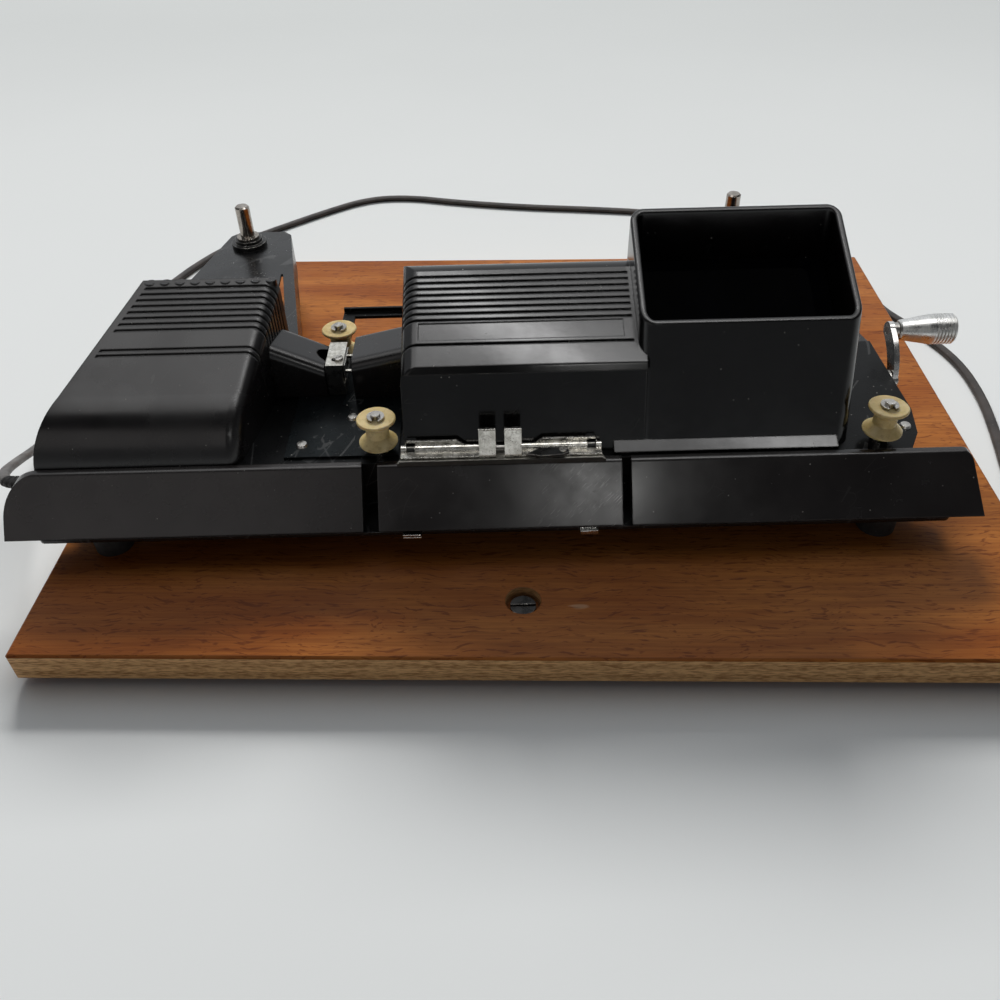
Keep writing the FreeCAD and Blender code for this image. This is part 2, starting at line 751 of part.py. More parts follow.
def arm_screws():
    screws = []
    for x, z in arm_screw_places():
        shank = Part.makeCylinder(ARM_SCREW_RADIUS, 2 * SHEET, V(x, DECK_BACK - SHEET, z), V(0, 1, 0))
        head = Part.makeCylinder(2 * ARM_SCREW_RADIUS, 2.0, V(x, DECK_BACK - SHEET - 2.0, z), V(0, 1, 0))
        nut = Part.makeCylinder(2 * ARM_SCREW_RADIUS, ARM_SCREW_LENGTH, V(x, DECK_BACK + SHEET, z), V(0, 1, 0))
        screws.append(joined([shank, head, nut]))
    return Part.makeCompound(screws)


nodes["left_arm"] = lambda: left_arm_shape()
nodes["right_arm"] = lambda: right_arm()
nodes["arm_screws"] = lambda: arm_screws()


# Lamphouse: a bakelite cover, narrower at the back, with a grooved roof that flows down into its nose
def lamphouse_plan():
    return [
        (LAMPHOUSE_FRONT_LEFT, LAMPHOUSE_FRONT),
        (LAMPHOUSE_FRONT_RIGHT, LAMPHOUSE_FRONT),
        (LAMPHOUSE_BACK_RIGHT, LAMPHOUSE_BACK),
        (LAMPHOUSE_BACK_LEFT, LAMPHOUSE_BACK),
    ]


def lamphouse_profile(inset, x0, x1):
    back = V(x0, LAMPHOUSE_BACK, LAMPHOUSE_BACK_HEIGHT - inset)
    bend = V(x0, ROOF_BEND_Y, ROOF_BEND_HEIGHT - inset)
    middle = V(x0, NOSE_MIDDLE_Y + inset * 0.7, NOSE_MIDDLE_HEIGHT - inset * 0.7)
    front = V(x0, LAMPHOUSE_FRONT + inset, DECK_TOP)
    corner = V(x0, LAMPHOUSE_BACK, DECK_TOP)
    edges = [
        Part.LineSegment(back, bend).toShape(),
        Part.Arc(bend, middle, front).toShape(),
        Part.LineSegment(front, corner).toShape(),
        Part.LineSegment(corner, back).toShape(),
    ]
    return Part.Face(Part.Wire(edges)).extrude(V(x1 - x0, 0, 0))


def lamphouse_solid(inset):
    walls = inset_plan(lamphouse_plan(), inset, DECK_TOP, LAMPHOUSE_BACK_HEIGHT + 5)
    roof = lamphouse_profile(inset, LAMPHOUSE_FRONT_LEFT - 5, LAMPHOUSE_BACK_RIGHT + 5)
    solid = walls.common(roof)
    edges = []
    for edge in solid.Edges:
        middle = edge.CenterOfMass
        if middle.z < DECK_TOP + 1 or edge.Length < 10:
            continue
        flat = abs(edge.Vertexes[0].Point.y - edge.Vertexes[-1].Point.y) < 0.1
        if middle.x > LAMP_X + 15 and not flat and middle.y > ROOF_BEND_Y:
            edges.append(edge)
    return solid.makeFillet(LAMPHOUSE_EDGE_RADIUS - inset, edges)


def lamphouse_cover():
    outer = lamphouse_solid(0)
    ribs = []
    middle_x = (LAMPHOUSE_BACK_LEFT + LAMPHOUSE_BACK_RIGHT) / 2.0
    for index in range(BACK_RIBS):
        x = middle_x + (index - (BACK_RIBS - 1) / 2.0) * BACK_RIB_PITCH
        rib = upright(x, LAMPHOUSE_BACK - 0.6, DECK_TOP, LAMPHOUSE_BACK_HEIGHT - 0.6, BACK_RIB_RADIUS)
        ribs.append(rib)
    skin = outer.cut(lamphouse_solid(GROOVE_DEPTH))
    keep = box(
        LAMPHOUSE_FRONT_LEFT - 5, LAMPHOUSE_BACK_RIGHT + 5, LAMPHOUSE_FRONT, LAMPHOUSE_BACK - 2, DECK_TOP + 8,
        LAMPHOUSE_BACK_HEIGHT + 5,
    )
    left_limit = inset_plan(lamphouse_plan(), GROOVE_MARGIN, DECK_TOP, LAMPHOUSE_BACK_HEIGHT + 5)
    right_side = box(LAMP_X, LAMPHOUSE_BACK_RIGHT + 5, LAMPHOUSE_FRONT, LAMPHOUSE_BACK, DECK_TOP, LAMPHOUSE_BACK_HEIGHT + 5)
    reach = left_limit.fuse(right_side)
    grooves = []
    places = [LAMPHOUSE_FIRST_GROOVE - index * LAMPHOUSE_GROOVE_PITCH for index in range(LAMPHOUSE_GROOVES)]
    for y in places + list(LAMPHOUSE_LINE_GROOVES):
        grooves.append(
            box(
                LAMPHOUSE_FRONT_LEFT - 5, LAMPHOUSE_BACK_RIGHT + 5, y - GROOVE_WIDTH / 2.0, y + GROOVE_WIDTH / 2.0,
                DECK_TOP, LAMPHOUSE_BACK_HEIGHT + 5,
            )
        )
    channels = Part.makeCompound(grooves).common(skin).common(keep).common(reach)
    cover = joined([outer] + ribs).cut(channels)
    cover = cover.cut(lamphouse_solid(MOULDING_WALL))
    bore = along_x(LAMP_X, CONDENSER_SHROUD_TIP, AXIS_Y, AXIS_Z, CONDENSER_RADIUS)
    return cover.cut(bore)


nodes["lamphouse_cover"] = lambda: lamphouse_cover()


# Condenser shroud: the wedge between lamphouse and gate, bored for the condenser lens
def condenser_shroud():
    left = LAMPHOUSE_FRONT_RIGHT
    y0 = AXIS_Y - SHROUD_HALF_WIDTH
    y1 = AXIS_Y + SHROUD_HALF_WIDTH
    slope = (CONDENSER_SHROUD_ROOT_HEIGHT - CONDENSER_SHROUD_TIP_HEIGHT) / (LAMPHOUSE_BACK_RIGHT - CONDENSER_SHROUD_TIP)
    top_left = CONDENSER_SHROUD_TIP_HEIGHT + slope * (left - CONDENSER_SHROUD_TIP)
    face = polygon(
        [
            V(left, y0, TRACK_TOP), V(CONDENSER_SHROUD_TIP, y0, TRACK_TOP),
            V(CONDENSER_SHROUD_TIP, y0, CONDENSER_SHROUD_TIP_HEIGHT), V(left, y0, top_left),
        ]
    )
    wedge = face.extrude(V(0, y1 - y0, 0))
    top_edges = []
    for edge in wedge.Edges:
        middle = edge.CenterOfMass
        if middle.z > TRACK_TOP + 12 and abs(middle.y - AXIS_Y) > SHROUD_HALF_WIDTH - 0.1 and edge.Length > 15:
            top_edges.append(edge)
    wedge = wedge.makeFillet(SHROUD_EDGE_RADIUS, top_edges)
    wedge = wedge.cut(lamphouse_solid(0))
    wedge = wedge.cut(along_x(left, SHROUD_STOP_X, AXIS_Y, AXIS_Z, CONDENSER_RADIUS))
    return wedge.cut(along_x(SHROUD_STOP_X, CONDENSER_SHROUD_TIP + 1, AXIS_Y, AXIS_Z, SHROUD_STOP_RADIUS))


def lens_solid(x, radius, thickness, bulge):
    half = thickness / 2.0
    rim = half - bulge
    curve = (radius * radius + bulge * bulge) / (2.0 * bulge)
    mid_radius = radius * 0.5
    sag = curve - math.sqrt(curve * curve - mid_radius * mid_radius)
    top = AXIS_Z + radius
    mid = AXIS_Z + mid_radius
    left_tip = V(x - half, AXIS_Y, AXIS_Z)
    right_tip = V(x + half, AXIS_Y, AXIS_Z)
    left_rim = V(x - rim, AXIS_Y, top)
    right_rim = V(x + rim, AXIS_Y, top)
    edges = [
        Part.Arc(left_tip, V(x - half + sag, AXIS_Y, mid), left_rim).toShape(),
        Part.LineSegment(left_rim, right_rim).toShape(),
        Part.Arc(right_rim, V(x + half - sag, AXIS_Y, mid), right_tip).toShape(),
        Part.LineSegment(right_tip, left_tip).toShape(),
    ]
    return Part.Face(Part.Wire(edges)).revolve(V(x, AXIS_Y, AXIS_Z), V(1, 0, 0), 360)


def condenser_lens():
    x = SHROUD_STOP_X - CONDENSER_THICKNESS / 2.0
    return lens_solid(x, CONDENSER_RADIUS, CONDENSER_THICKNESS, 1.6)


nodes["condenser_shroud"] = lambda: condenser_shroud()
nodes["condenser_lens"] = lambda: condenser_lens()


# Lamp: a socket through the deck, the bulb in it and a small reflector behind
def lamp_socket():
    bottom = DECK_TOP - SOCKET_DEPTH
    body = upright(LAMP_X, AXIS_Y, bottom, DECK_TOP, SOCKET_RADIUS)
    flange = upright(LAMP_X, AXIS_Y, DECK_TOP, DECK_TOP + SOCKET_FLANGE, SOCKET_FLANGE_RADIUS)
    bore_bottom = DECK_TOP + SOCKET_FLANGE - LAMP_BASE_DEPTH
    bore = upright(LAMP_X, AXIS_Y, bore_bottom, DECK_TOP + SOCKET_FLANGE + 1, SOCKET_BORE_RADIUS)
    return joined([body, flange]).cut(bore)


def lamp_bulb():
    bottom = DECK_TOP + SOCKET_FLANGE - LAMP_BASE_DEPTH
    neck_top = AXIS_Z - math.sqrt(GLOBE_RADIUS ** 2 - LAMP_BASE_RADIUS ** 2)
    base = upright(LAMP_X, AXIS_Y, bottom, neck_top + 0.5, LAMP_BASE_RADIUS)
    globe = Part.makeSphere(GLOBE_RADIUS, V(LAMP_X, AXIS_Y, AXIS_Z))
    return joined([base, globe])


def lamp_reflector():
    centre = V(REFLECTOR_X + REFLECTOR_CURVE, AXIS_Y, AXIS_Z)
    shell = Part.makeSphere(REFLECTOR_CURVE, centre).cut(Part.makeSphere(REFLECTOR_CURVE - REFLECTOR_SHEET, centre))
    reach = REFLECTOR_CURVE - math.sqrt(REFLECTOR_CURVE ** 2 - REFLECTOR_RADIUS ** 2) + REFLECTOR_SHEET
    dish = shell.common(along_x(REFLECTOR_X - 1, REFLECTOR_X + reach, AXIS_Y, AXIS_Z, REFLECTOR_RADIUS))
    foot = box(
        REFLECTOR_X - REFLECTOR_FOOT, REFLECTOR_X + REFLECTOR_SHEET,
        AXIS_Y - REFLECTOR_FOOT / 2.0, AXIS_Y + REFLECTOR_FOOT / 2.0, DECK_TOP, DECK_TOP + REFLECTOR_SHEET,
    )
    stem = box(
        REFLECTOR_X, REFLECTOR_X + REFLECTOR_SHEET,
        AXIS_Y - REFLECTOR_FOOT / 2.0, AXIS_Y + REFLECTOR_FOOT / 2.0, DECK_TOP, AXIS_Z - 2,
    )
    stem = stem.cut(Part.makeSphere(REFLECTOR_CURVE - REFLECTOR_SHEET, centre))
    return joined([dish, foot, stem])


nodes["lamp_socket"] = lambda: lamp_socket()
nodes["lamp_bulb"] = lambda: lamp_bulb()
nodes["lamp_reflector"] = lambda: lamp_reflector()


# Film track plate on the deck, the gate block with its aperture, and the sprung plate that holds the film
def track_plate():
    plate = box(TRACK_LEFT, TRACK_RIGHT, TRACK_FRONT, TRACK_BACK, DECK_TOP, TRACK_TOP)
    x, y = ROLLER_PLACES["front_roller"]
    plate = plate.cut(upright(x, y, DECK_TOP - 1, TRACK_TOP + 1, POST_SHOULDER_RADIUS))
    for x, y in TRACK_SCREW_PLACES:
        plate = plate.cut(upright(x, y, DECK_TOP - 1, TRACK_TOP + 1, DECK_SCREW_RADIUS))
    x, y = ROLLER_PLACES["gate_roller"]
    plate = plate.cut(upright(x, y, DECK_TOP - 1, TRACK_TOP + 1, ROLLER_FLANGE_RADIUS))
    plate = plate.cut(lamphouse_solid(0))
    return plate.cut(housing_outer())


def film_gate():
    block = box(GATE_LEFT, GATE_RIGHT, GATE_FRONT, GATE_BACK, TRACK_TOP, GATE_TOP)
    channel = box(
        GATE_RIGHT - CHANNEL_DEPTH, GATE_RIGHT + 1, GATE_FRONT - 1, GATE_BACK + 1,
        AXIS_Z - FILM_WIDTH / 2.0 - 0.1, AXIS_Z + FILM_WIDTH / 2.0 + 0.1,
    )
    aperture = box(
        GATE_LEFT - 1, GATE_RIGHT + 1, AXIS_Y - FRAME_LENGTH / 2.0, AXIS_Y + FRAME_LENGTH / 2.0,
        AXIS_Z - FRAME_HEIGHT / 2.0, AXIS_Z + FRAME_HEIGHT / 2.0,
    )
    screw_hole = upright((GATE_LEFT + GATE_RIGHT) / 2.0, GATE_FRONT + 5, GATE_TOP - 2.5, GATE_TOP + 1, 1.6)
    block = block.cut(channel).cut(aperture).cut(screw_hole)
    pins = []
    for sign in (-1, 1):
        y = AXIS_Y + sign * PRESSURE_PIN_OFFSET
        pin_end = GATE_RIGHT - CHANNEL_DEPTH + PRESSURE_THICKNESS + PRESSURE_TRAVEL + 1.2
        pins.append(along_x(GATE_RIGHT - CHANNEL_DEPTH, pin_end, y, AXIS_Z, PRESSURE_PIN_RADIUS))
    return joined([block] + pins)


def pressure_plate():
    x0 = GATE_RIGHT - CHANNEL_DEPTH + 0.2
    x1 = x0 + PRESSURE_THICKNESS
    plate = box(
        x0, x1, PRESSURE_FRONT, PRESSURE_BACK, AXIS_Z - FILM_WIDTH / 2.0, AXIS_Z + FILM_WIDTH / 2.0
    )
    aperture = box(
        x0 - 1, x1 + 1, AXIS_Y - FRAME_LENGTH / 2.0, AXIS_Y + FRAME_LENGTH / 2.0,
        AXIS_Z - FRAME_HEIGHT / 2.0, AXIS_Z + FRAME_HEIGHT / 2.0,
    )
    plate = plate.cut(aperture)
    for sign in (-1, 1):
        y = AXIS_Y + sign * PRESSURE_PIN_OFFSET
        plate = plate.cut(along_x(x0 - 1, x1 + 1, y, AXIS_Z, PRESSURE_PIN_RADIUS + RUNNING_GAP))
    return plate


nodes["track_plate"] = lambda: track_plate()
nodes["film_gate"] = lambda: film_gate()
nodes["pressure_plate"] = lambda: pressure_plate()


# Lens shroud and the barrel that slides in it to focus, with a glass at each end
def lens_shroud():
    y0 = AXIS_Y - LENS_SHROUD_HALF_WIDTH
    y1 = AXIS_Y + LENS_SHROUD_HALF_WIDTH
    face = polygon(
        [
            V(LENS_SHROUD_TIP, y0, TRACK_TOP), V(HOUSING_LEFT, y0, TRACK_TOP),
            V(HOUSING_LEFT, y0, LENS_SHROUD_ROOT_HEIGHT), V(LENS_SHROUD_TIP, y0, LENS_SHROUD_TIP_HEIGHT),
        ]
    )
    wedge = face.extrude(V(0, y1 - y0, 0))
    top_edges = []
    for edge in wedge.Edges:
        middle = edge.CenterOfMass
        if middle.z > TRACK_TOP + 12 and abs(middle.y - AXIS_Y) > LENS_SHROUD_HALF_WIDTH - 0.1 and edge.Length > 20:
            top_edges.append(edge)
    wedge = wedge.makeFillet(SHROUD_EDGE_RADIUS, top_edges)
    return wedge.cut(along_x(LENS_SHROUD_TIP - 1, HOUSING_LEFT + 1, AXIS_Y, AXIS_Z, BARREL_RADIUS + RUNNING_GAP))


def lens_barrel():
    back = BARREL_FRONT + BARREL_LENGTH
    tube = along_x(BARREL_FRONT, back, AXIS_Y, AXIS_Z, BARREL_RADIUS)
    seat = BARREL_RADIUS - BARREL_WALL
    tube = tube.cut(along_x(BARREL_FRONT - 1, BARREL_FRONT + ELEMENT_THICKNESS + 1, AXIS_Y, AXIS_Z, seat))
    tube = tube.cut(along_x(back - ELEMENT_THICKNESS - 1, back + 1, AXIS_Y, AXIS_Z, seat))
    return tube.cut(along_x(BARREL_FRONT - 1, back + 1, AXIS_Y, AXIS_Z, seat - 1.0))


def lens_elements():
    seat = BARREL_RADIUS - BARREL_WALL
    front = lens_solid(BARREL_FRONT + 1 + ELEMENT_THICKNESS / 2.0, seat, ELEMENT_THICKNESS, 0.9)
    back = lens_solid(BARREL_FRONT + BARREL_LENGTH - 1 - ELEMENT_THICKNESS / 2.0, seat, ELEMENT_THICKNESS, 0.9)
    return Part.makeCompound([front, back])


nodes["lens_shroud"] = lambda: lens_shroud()
nodes["lens_barrel"] = lambda: lens_barrel()
nodes["lens_elements"] = lambda: lens_elements()


# Viewer housing: one bakelite moulding, a low grooved body on the left and the open viewing hood on the right
def front_y(z):
    return HOUSING_FRONT + FRONT_LEAN * (z - DECK_TOP)


def low_roof_z(y):
    return EAVE_HEIGHT + ROOF_SLOPE * (y - front_y(EAVE_HEIGHT))


def rim_z(y):
    share = (y - front_y(RIM_FRONT_HEIGHT)) / (HOOD_BACK - front_y(RIM_FRONT_HEIGHT))
    return RIM_FRONT_HEIGHT + share * (RIM_BACK_HEIGHT - RIM_FRONT_HEIGHT)


def low_body(inset):
    x0 = HOUSING_LEFT + inset
    band_bottom = EAVE_HEIGHT - EAVE_BAND
    front = V(x0, front_y(DECK_TOP) + inset, DECK_TOP)
    wall_top = V(x0, front_y(band_bottom) + inset, band_bottom)
    eave_under = V(x0, front_y(band_bottom) - EAVE_REACH + inset, band_bottom + 1.0)
    eave = V(x0, front_y(EAVE_HEIGHT) - EAVE_REACH + inset, low_roof_z(front_y(EAVE_HEIGHT) - EAVE_REACH) - inset)
    roof_back = V(x0, LOW_ROOF_BACK, low_roof_z(LOW_ROOF_BACK) - inset)
    shoulder = LOW_BACK_SHOULDER
    bend = V(
        x0, HOUSING_BACK - shoulder * 0.3 - inset * 0.7,
        low_roof_z(LOW_ROOF_BACK) - shoulder * 0.25 - inset * 0.7,
    )
    back_top = V(x0, HOUSING_BACK - inset, low_roof_z(LOW_ROOF_BACK) - shoulder)
    back = V(x0, HOUSING_BACK - inset, DECK_TOP)
    edges = [
        Part.LineSegment(front, wall_top).toShape(),
        Part.LineSegment(wall_top, eave_under).toShape(),
        Part.LineSegment(eave_under, eave).toShape(),
        Part.LineSegment(eave, roof_back).toShape(),
        Part.Arc(roof_back, bend, back_top).toShape(),
        Part.LineSegment(back_top, back).toShape(),
        Part.LineSegment(back, front).toShape(),
    ]
    solid = Part.Face(Part.Wire(edges)).extrude(V(HOOD_LEFT + HOOD_WALL - x0, 0, 0))
    chosen = []
    for edge in solid.Edges:
        middle = edge.CenterOfMass
        on_left = abs(middle.x - x0) < 0.01
        if on_left and middle.z > EAVE_HEIGHT - inset and edge.Length > 20:
            chosen.append(edge)
    solid = solid.makeFillet(LOW_LEFT_RADIUS - inset, chosen)
    if inset > 0:
        return solid
    nose = []
    for edge in solid.Edges:
        middle = edge.CenterOfMass
        if edge.Length > 60 and abs(middle.z - eave.z) < 0.01 and abs(middle.y - eave.y) < 0.01:
            nose.append(edge)
    return solid.makeFillet(EAVE_NOSE, nose)


def hood_body(inset):
    bottom = DECK_TOP
    top = RIM_BACK_HEIGHT + 10
    corners = [
        (HOOD_LEFT + inset, front_y(bottom) + inset - 1),
        (HOUSING_RIGHT - inset, front_y(bottom) + inset - 1),
        (HOUSING_RIGHT - inset, HOOD_BACK - inset),
        (HOOD_LEFT + inset, HOOD_BACK - inset),
    ]
    prism = plan(corners, bottom, top)
    lean_face = polygon(
        [
            V(HOOD_LEFT - 1, front_y(bottom) + inset, bottom),
            V(HOOD_LEFT - 1, HOOD_BACK + 1, bottom),
            V(HOOD_LEFT - 1, HOOD_BACK + 1, top),
            V(HOOD_LEFT - 1, front_y(top) + inset, top),
        ]
    )
    prism = prism.common(lean_face.extrude(V(HOUSING_RIGHT - HOOD_LEFT + 2, 0, 0)))
    standing = []
    for edge in prism.Edges:
        first = edge.Vertexes[0].Point
        last = edge.Vertexes[-1].Point
        if abs(first.z - last.z) > 20 and abs(first.x - last.x) < 0.1:
            standing.append(edge)
    return prism.makeFillet(HOOD_CORNER_RADIUS - inset, standing)


def above_rim():
    front = front_y(RIM_FRONT_HEIGHT) - 20
    back = HOOD_BACK + 20
    face = polygon(
        [
            V(HOOD_LEFT - 10, front, rim_z(front)),
            V(HOOD_LEFT - 10, back, rim_z(back)),
            V(HOOD_LEFT - 10, back, RIM_BACK_HEIGHT + 60),
            V(HOOD_LEFT - 10, front, RIM_BACK_HEIGHT + 60),
        ]
    )
    return face.extrude(V(HOUSING_RIGHT - HOOD_LEFT + 20, 0, 0))


def housing_outer():
    hood = hood_body(0).cut(above_rim())
    return joined([low_body(0), hood])


def round_rim(body):
    rim = []
    for edge in body.Edges:
        middle = edge.CenterOfMass
        if edge.Length > 2 and abs(middle.z - rim_z(middle.y)) < 0.05 and middle.x > HOOD_LEFT - 1:
            rim.append(edge)
    return body.makeFillet(RIM_ROUNDING, rim)


def sill():
    y0 = front_y(DECK_TOP)
    profile = [
        (y0 + MOULDING_WALL, DECK_TOP), (y0 + MOULDING_WALL, DECK_TOP + SILL_HEIGHT),
        (front_y(DECK_TOP + SILL_HEIGHT), DECK_TOP + SILL_HEIGHT), (y0 - SILL_REACH, DECK_TOP + SILL_HEIGHT * 0.4),
        (y0 - SILL_REACH, DECK_TOP),
    ]
    return side(profile, SILL_LEFT, HOUSING_RIGHT - HOOD_CORNER_RADIUS)


def viewer_housing():
    low = low_body(0)
    skin = low.cut(low_body(GROOVE_DEPTH))
    keep = box(
        HOUSING_LEFT - 1, HOOD_LEFT - 1.5, front_y(EAVE_HEIGHT), LOW_ROOF_BACK, DECK_TOP + 10, RIM_BACK_HEIGHT
    )
    grooves = []
    places = [VIEWER_FIRST_GROOVE - index * VIEWER_GROOVE_PITCH for index in range(VIEWER_GROOVES)]
    for y in places + list(VIEWER_LINE_GROOVES):
        grooves.append(
            box(
                HOUSING_LEFT - 1, HOOD_LEFT, y - GROOVE_WIDTH / 2.0, y + GROOVE_WIDTH / 2.0, DECK_TOP, RIM_BACK_HEIGHT
            )
        )
    low = low.cut(Part.makeCompound(grooves).common(skin).common(keep))
    label = box(LABEL_LEFT, LABEL_RIGHT, LABEL_FRONT, LABEL_BACK, EAVE_HEIGHT - 10, RIM_BACK_HEIGHT)
    label = label.cut(low_body(LABEL_DEPTH))
    low = low.cut(label)
    low = low.cut(low_body(MOULDING_WALL).cut(box(HOOD_LEFT + HOOD_WALL, HOUSING_RIGHT, 0, 200, 0, 200)))
    hood = hood_body(0).cut(above_rim())
    cavity = hood_body(HOOD_WALL)
    body = joined([low.cut(cavity), hood.cut(cavity).cut(low_body(MOULDING_WALL))])
    bore = along_x(HOUSING_LEFT - 1, HOUSING_LEFT + MOULDING_WALL + 1, AXIS_Y, AXIS_Z, BARREL_RADIUS + RUNNING_GAP)
    body = round_rim(body.cut(bore))
    return joined([body, sill()] + screen_ledges())


def screen_top_z(y):
    return rim_z(y) - SCREEN_DROP


def tilted_slab(x0, x1, y0, y1, top_drop, thickness):
    face = polygon(
        [
            V(x0, y0, rim_z(y0) - top_drop),
            V(x0, y1, rim_z(y1) - top_drop),
            V(x0, y1, rim_z(y1) - top_drop - thickness),
            V(x0, y0, rim_z(y0) - top_drop - thickness),
        ]
    )
    return face.extrude(V(x1 - x0, 0, 0))


def screen_ledges():
    drop = SCREEN_DROP + SCREEN_THICKNESS
    y0 = front_y(RIM_FRONT_HEIGHT)
    ledges = []
    for x0, x1 in (
        (HOOD_LEFT + HOOD_WALL / 2.0, HOOD_LEFT + HOOD_WALL + LEDGE_REACH),
        (HOUSING_RIGHT - HOOD_WALL - LEDGE_REACH, HOUSING_RIGHT - HOOD_WALL / 2.0),
    ):
        ledges.append(tilted_slab(x0, x1, y0 + HOOD_WALL + 2, HOOD_BACK - HOOD_WALL - 2, drop, LEDGE_THICKNESS))
    return ledges


nodes["viewer_housing"] = lambda: viewer_housing()


# Ground-glass screen on its ledges in the hood, and the mirror below that turns the picture up to it
def viewing_screen():
    slab = tilted_slab(
        HOOD_LEFT + HOOD_WALL + SCREEN_GAP, HOUSING_RIGHT - HOOD_WALL - SCREEN_GAP,
        front_y(DECK_TOP), HOOD_BACK + 5, SCREEN_DROP, SCREEN_THICKNESS,
    )
    return slab.common(hood_body(HOOD_WALL + SCREEN_GAP))


def mirror_face(offset, thickness):
    rise = MIRROR_RUN
    x0 = MIRROR_LEFT + offset
    z0 = DECK_TOP + BRACKET_SHEET
    lean = thickness * math.sqrt(2.0)
    return [
        (x0, z0), (x0 + lean, z0), (x0 + rise + lean, z0 + rise), (x0 + rise, z0 + rise),
    ]


def sloped_plate(points, y0, y1):
    face = polygon([V(x, y0, z) for x, z in points])
    return face.extrude(V(0, y1 - y0, 0))


def mirror():
    return sloped_plate(
        mirror_face(0, MIRROR_THICKNESS), AXIS_Y - MIRROR_WIDTH / 2.0 - 2, AXIS_Y + MIRROR_WIDTH / 2.0 - 2
    )


def mirror_bracket():
    y0 = AXIS_Y - MIRROR_WIDTH / 2.0 - 2
    y1 = AXIS_Y + MIRROR_WIDTH / 2.0 - 2
    back = sloped_plate(mirror_face(MIRROR_THICKNESS * math.sqrt(2.0), BRACKET_SHEET), y0, y1)
    foot = box(MIRROR_LEFT, MIRROR_LEFT + MIRROR_RUN + 10, y0, y1, DECK_TOP, DECK_TOP + BRACKET_SHEET)
    web_left = MIRROR_LEFT + (MIRROR_THICKNESS + BRACKET_SHEET) * math.sqrt(2.0)
    web = sloped_plate(
        [
            (web_left, DECK_TOP + BRACKET_SHEET),
            (web_left + MIRROR_RUN, DECK_TOP + BRACKET_SHEET),
            (web_left + MIRROR_RUN, DECK_TOP + BRACKET_SHEET + MIRROR_RUN),
        ],
        AXIS_Y - BRACKET_SHEET / 2.0, AXIS_Y + BRACKET_SHEET / 2.0,
    )
    return joined([back, foot, web])


nodes["viewing_screen"] = lambda: viewing_screen()
nodes["mirror"] = lambda: mirror()
nodes["mirror_bracket"] = lambda: mirror_bracket()


# Film rollers of cream nylon on steel posts, each kept by a clip
def roller_post(x, y):
    shoulder_top = ROLLER_BOTTOM - CLIP_GAP / 2.0
    pin_top = ROLLER_TOP + CLIP_GAP + CLIP_THICKNESS + POST_ABOVE_CLIP
    pin = upright(x, y, DECK_UNDER - 1, pin_top, POST_RADIUS)
    shoulder = upright(x, y, DECK_TOP, shoulder_top, POST_SHOULDER_RADIUS)
    return joined([pin, shoulder])


def roller(x, y):
    bore = POST_RADIUS + RUNNING_GAP
    waist = FILM_WIDTH / 4.0
    profile = [
        (bore, ROLLER_BOTTOM), (ROLLER_FLANGE_RADIUS - 0.4, ROLLER_BOTTOM),
        (ROLLER_FLANGE_RADIUS, ROLLER_BOTTOM + 0.4), (ROLLER_FLANGE_RADIUS, ROLLER_BOTTOM + ROLLER_RIM),
        (ROLLER_WAIST_RADIUS, AXIS_Z - waist), (ROLLER_WAIST_RADIUS, AXIS_Z + waist),
        (ROLLER_FLANGE_RADIUS, ROLLER_TOP - ROLLER_RIM), (ROLLER_FLANGE_RADIUS, ROLLER_TOP - 0.4),
        (ROLLER_FLANGE_RADIUS - 0.4, ROLLER_TOP), (bore, ROLLER_TOP),
    ]
    return revolve_up(x, y, profile)


def roller_clip(x, y):
    bottom = ROLLER_TOP + CLIP_GAP
    ring = upright(x, y, bottom, bottom + CLIP_THICKNESS, CLIP_RADIUS)
    ring = ring.cut(upright(x, y, bottom - 1, bottom + CLIP_THICKNESS + 1, POST_RADIUS))
    mouth = box(x - 1.2, x + 1.2, y - CLIP_RADIUS - 1, y - POST_RADIUS + 0.5, bottom - 1, bottom + CLIP_THICKNESS + 1)
    return ring.cut(mouth)


def roller_nodes():
    for name, place in ROLLER_PLACES.items():
        nodes[name] = lambda place=place: roller(*place)
    nodes["roller_posts"] = lambda: Part.makeCompound([roller_post(x, y) for x, y in ROLLER_PLACES.values()])
    nodes["roller_clips"] = lambda: Part.makeCompound([roller_clip(x, y) for x, y in ROLLER_PLACES.values()])


roller_nodes()


# Reel spindles: chromed shafts that turn in black collars on the arms
def collar():
    lower_top = DECK_TOP + COLLAR_LOWER_HEIGHT
    upper_top = SEAT_HEIGHT - SEAT_THICKNESS - CLIP_GAP
    lower = upright(0, 0, DECK_TOP, lower_top, COLLAR_LOWER_RADIUS)
    upper = upright(0, 0, DECK_UNDER - COLLAR_SKIRT, upper_top, COLLAR_UPPER_RADIUS)
    bore = upright(0, 0, DECK_UNDER - COLLAR_SKIRT - 1, upper_top + 1, SPINDLE_RADIUS + RUNNING_GAP)
    return joined([lower, upper]).cut(bore)


def spindle(foot):
    points = [
        (0, foot), (SPINDLE_RADIUS, foot),
        (SPINDLE_RADIUS, SEAT_HEIGHT - SEAT_THICKNESS), (SEAT_RADIUS, SEAT_HEIGHT - SEAT_THICKNESS),
        (SEAT_RADIUS, SEAT_HEIGHT), (SPINDLE_RADIUS, SEAT_HEIGHT),
        (SPINDLE_RADIUS, SPINDLE_TOP - SPINDLE_TIP_CHAMFER),
        (SPINDLE_RADIUS - SPINDLE_TIP_CHAMFER, SPINDLE_TOP), (0, SPINDLE_TOP),
    ]
    return revolve_up(0, 0, points)


def placed(shape, x, y):
    shape.translate(V(x, y, 0))
    return shape


def spindle_ring():
    top = DECK_UNDER - COLLAR_SKIRT - CLIP_GAP
    ring = upright(0, 0, top - RING_THICKNESS, top, RING_RADIUS)
    return ring.cut(upright(0, 0, top - RING_THICKNESS - 1, top + 1, SPINDLE_RADIUS))


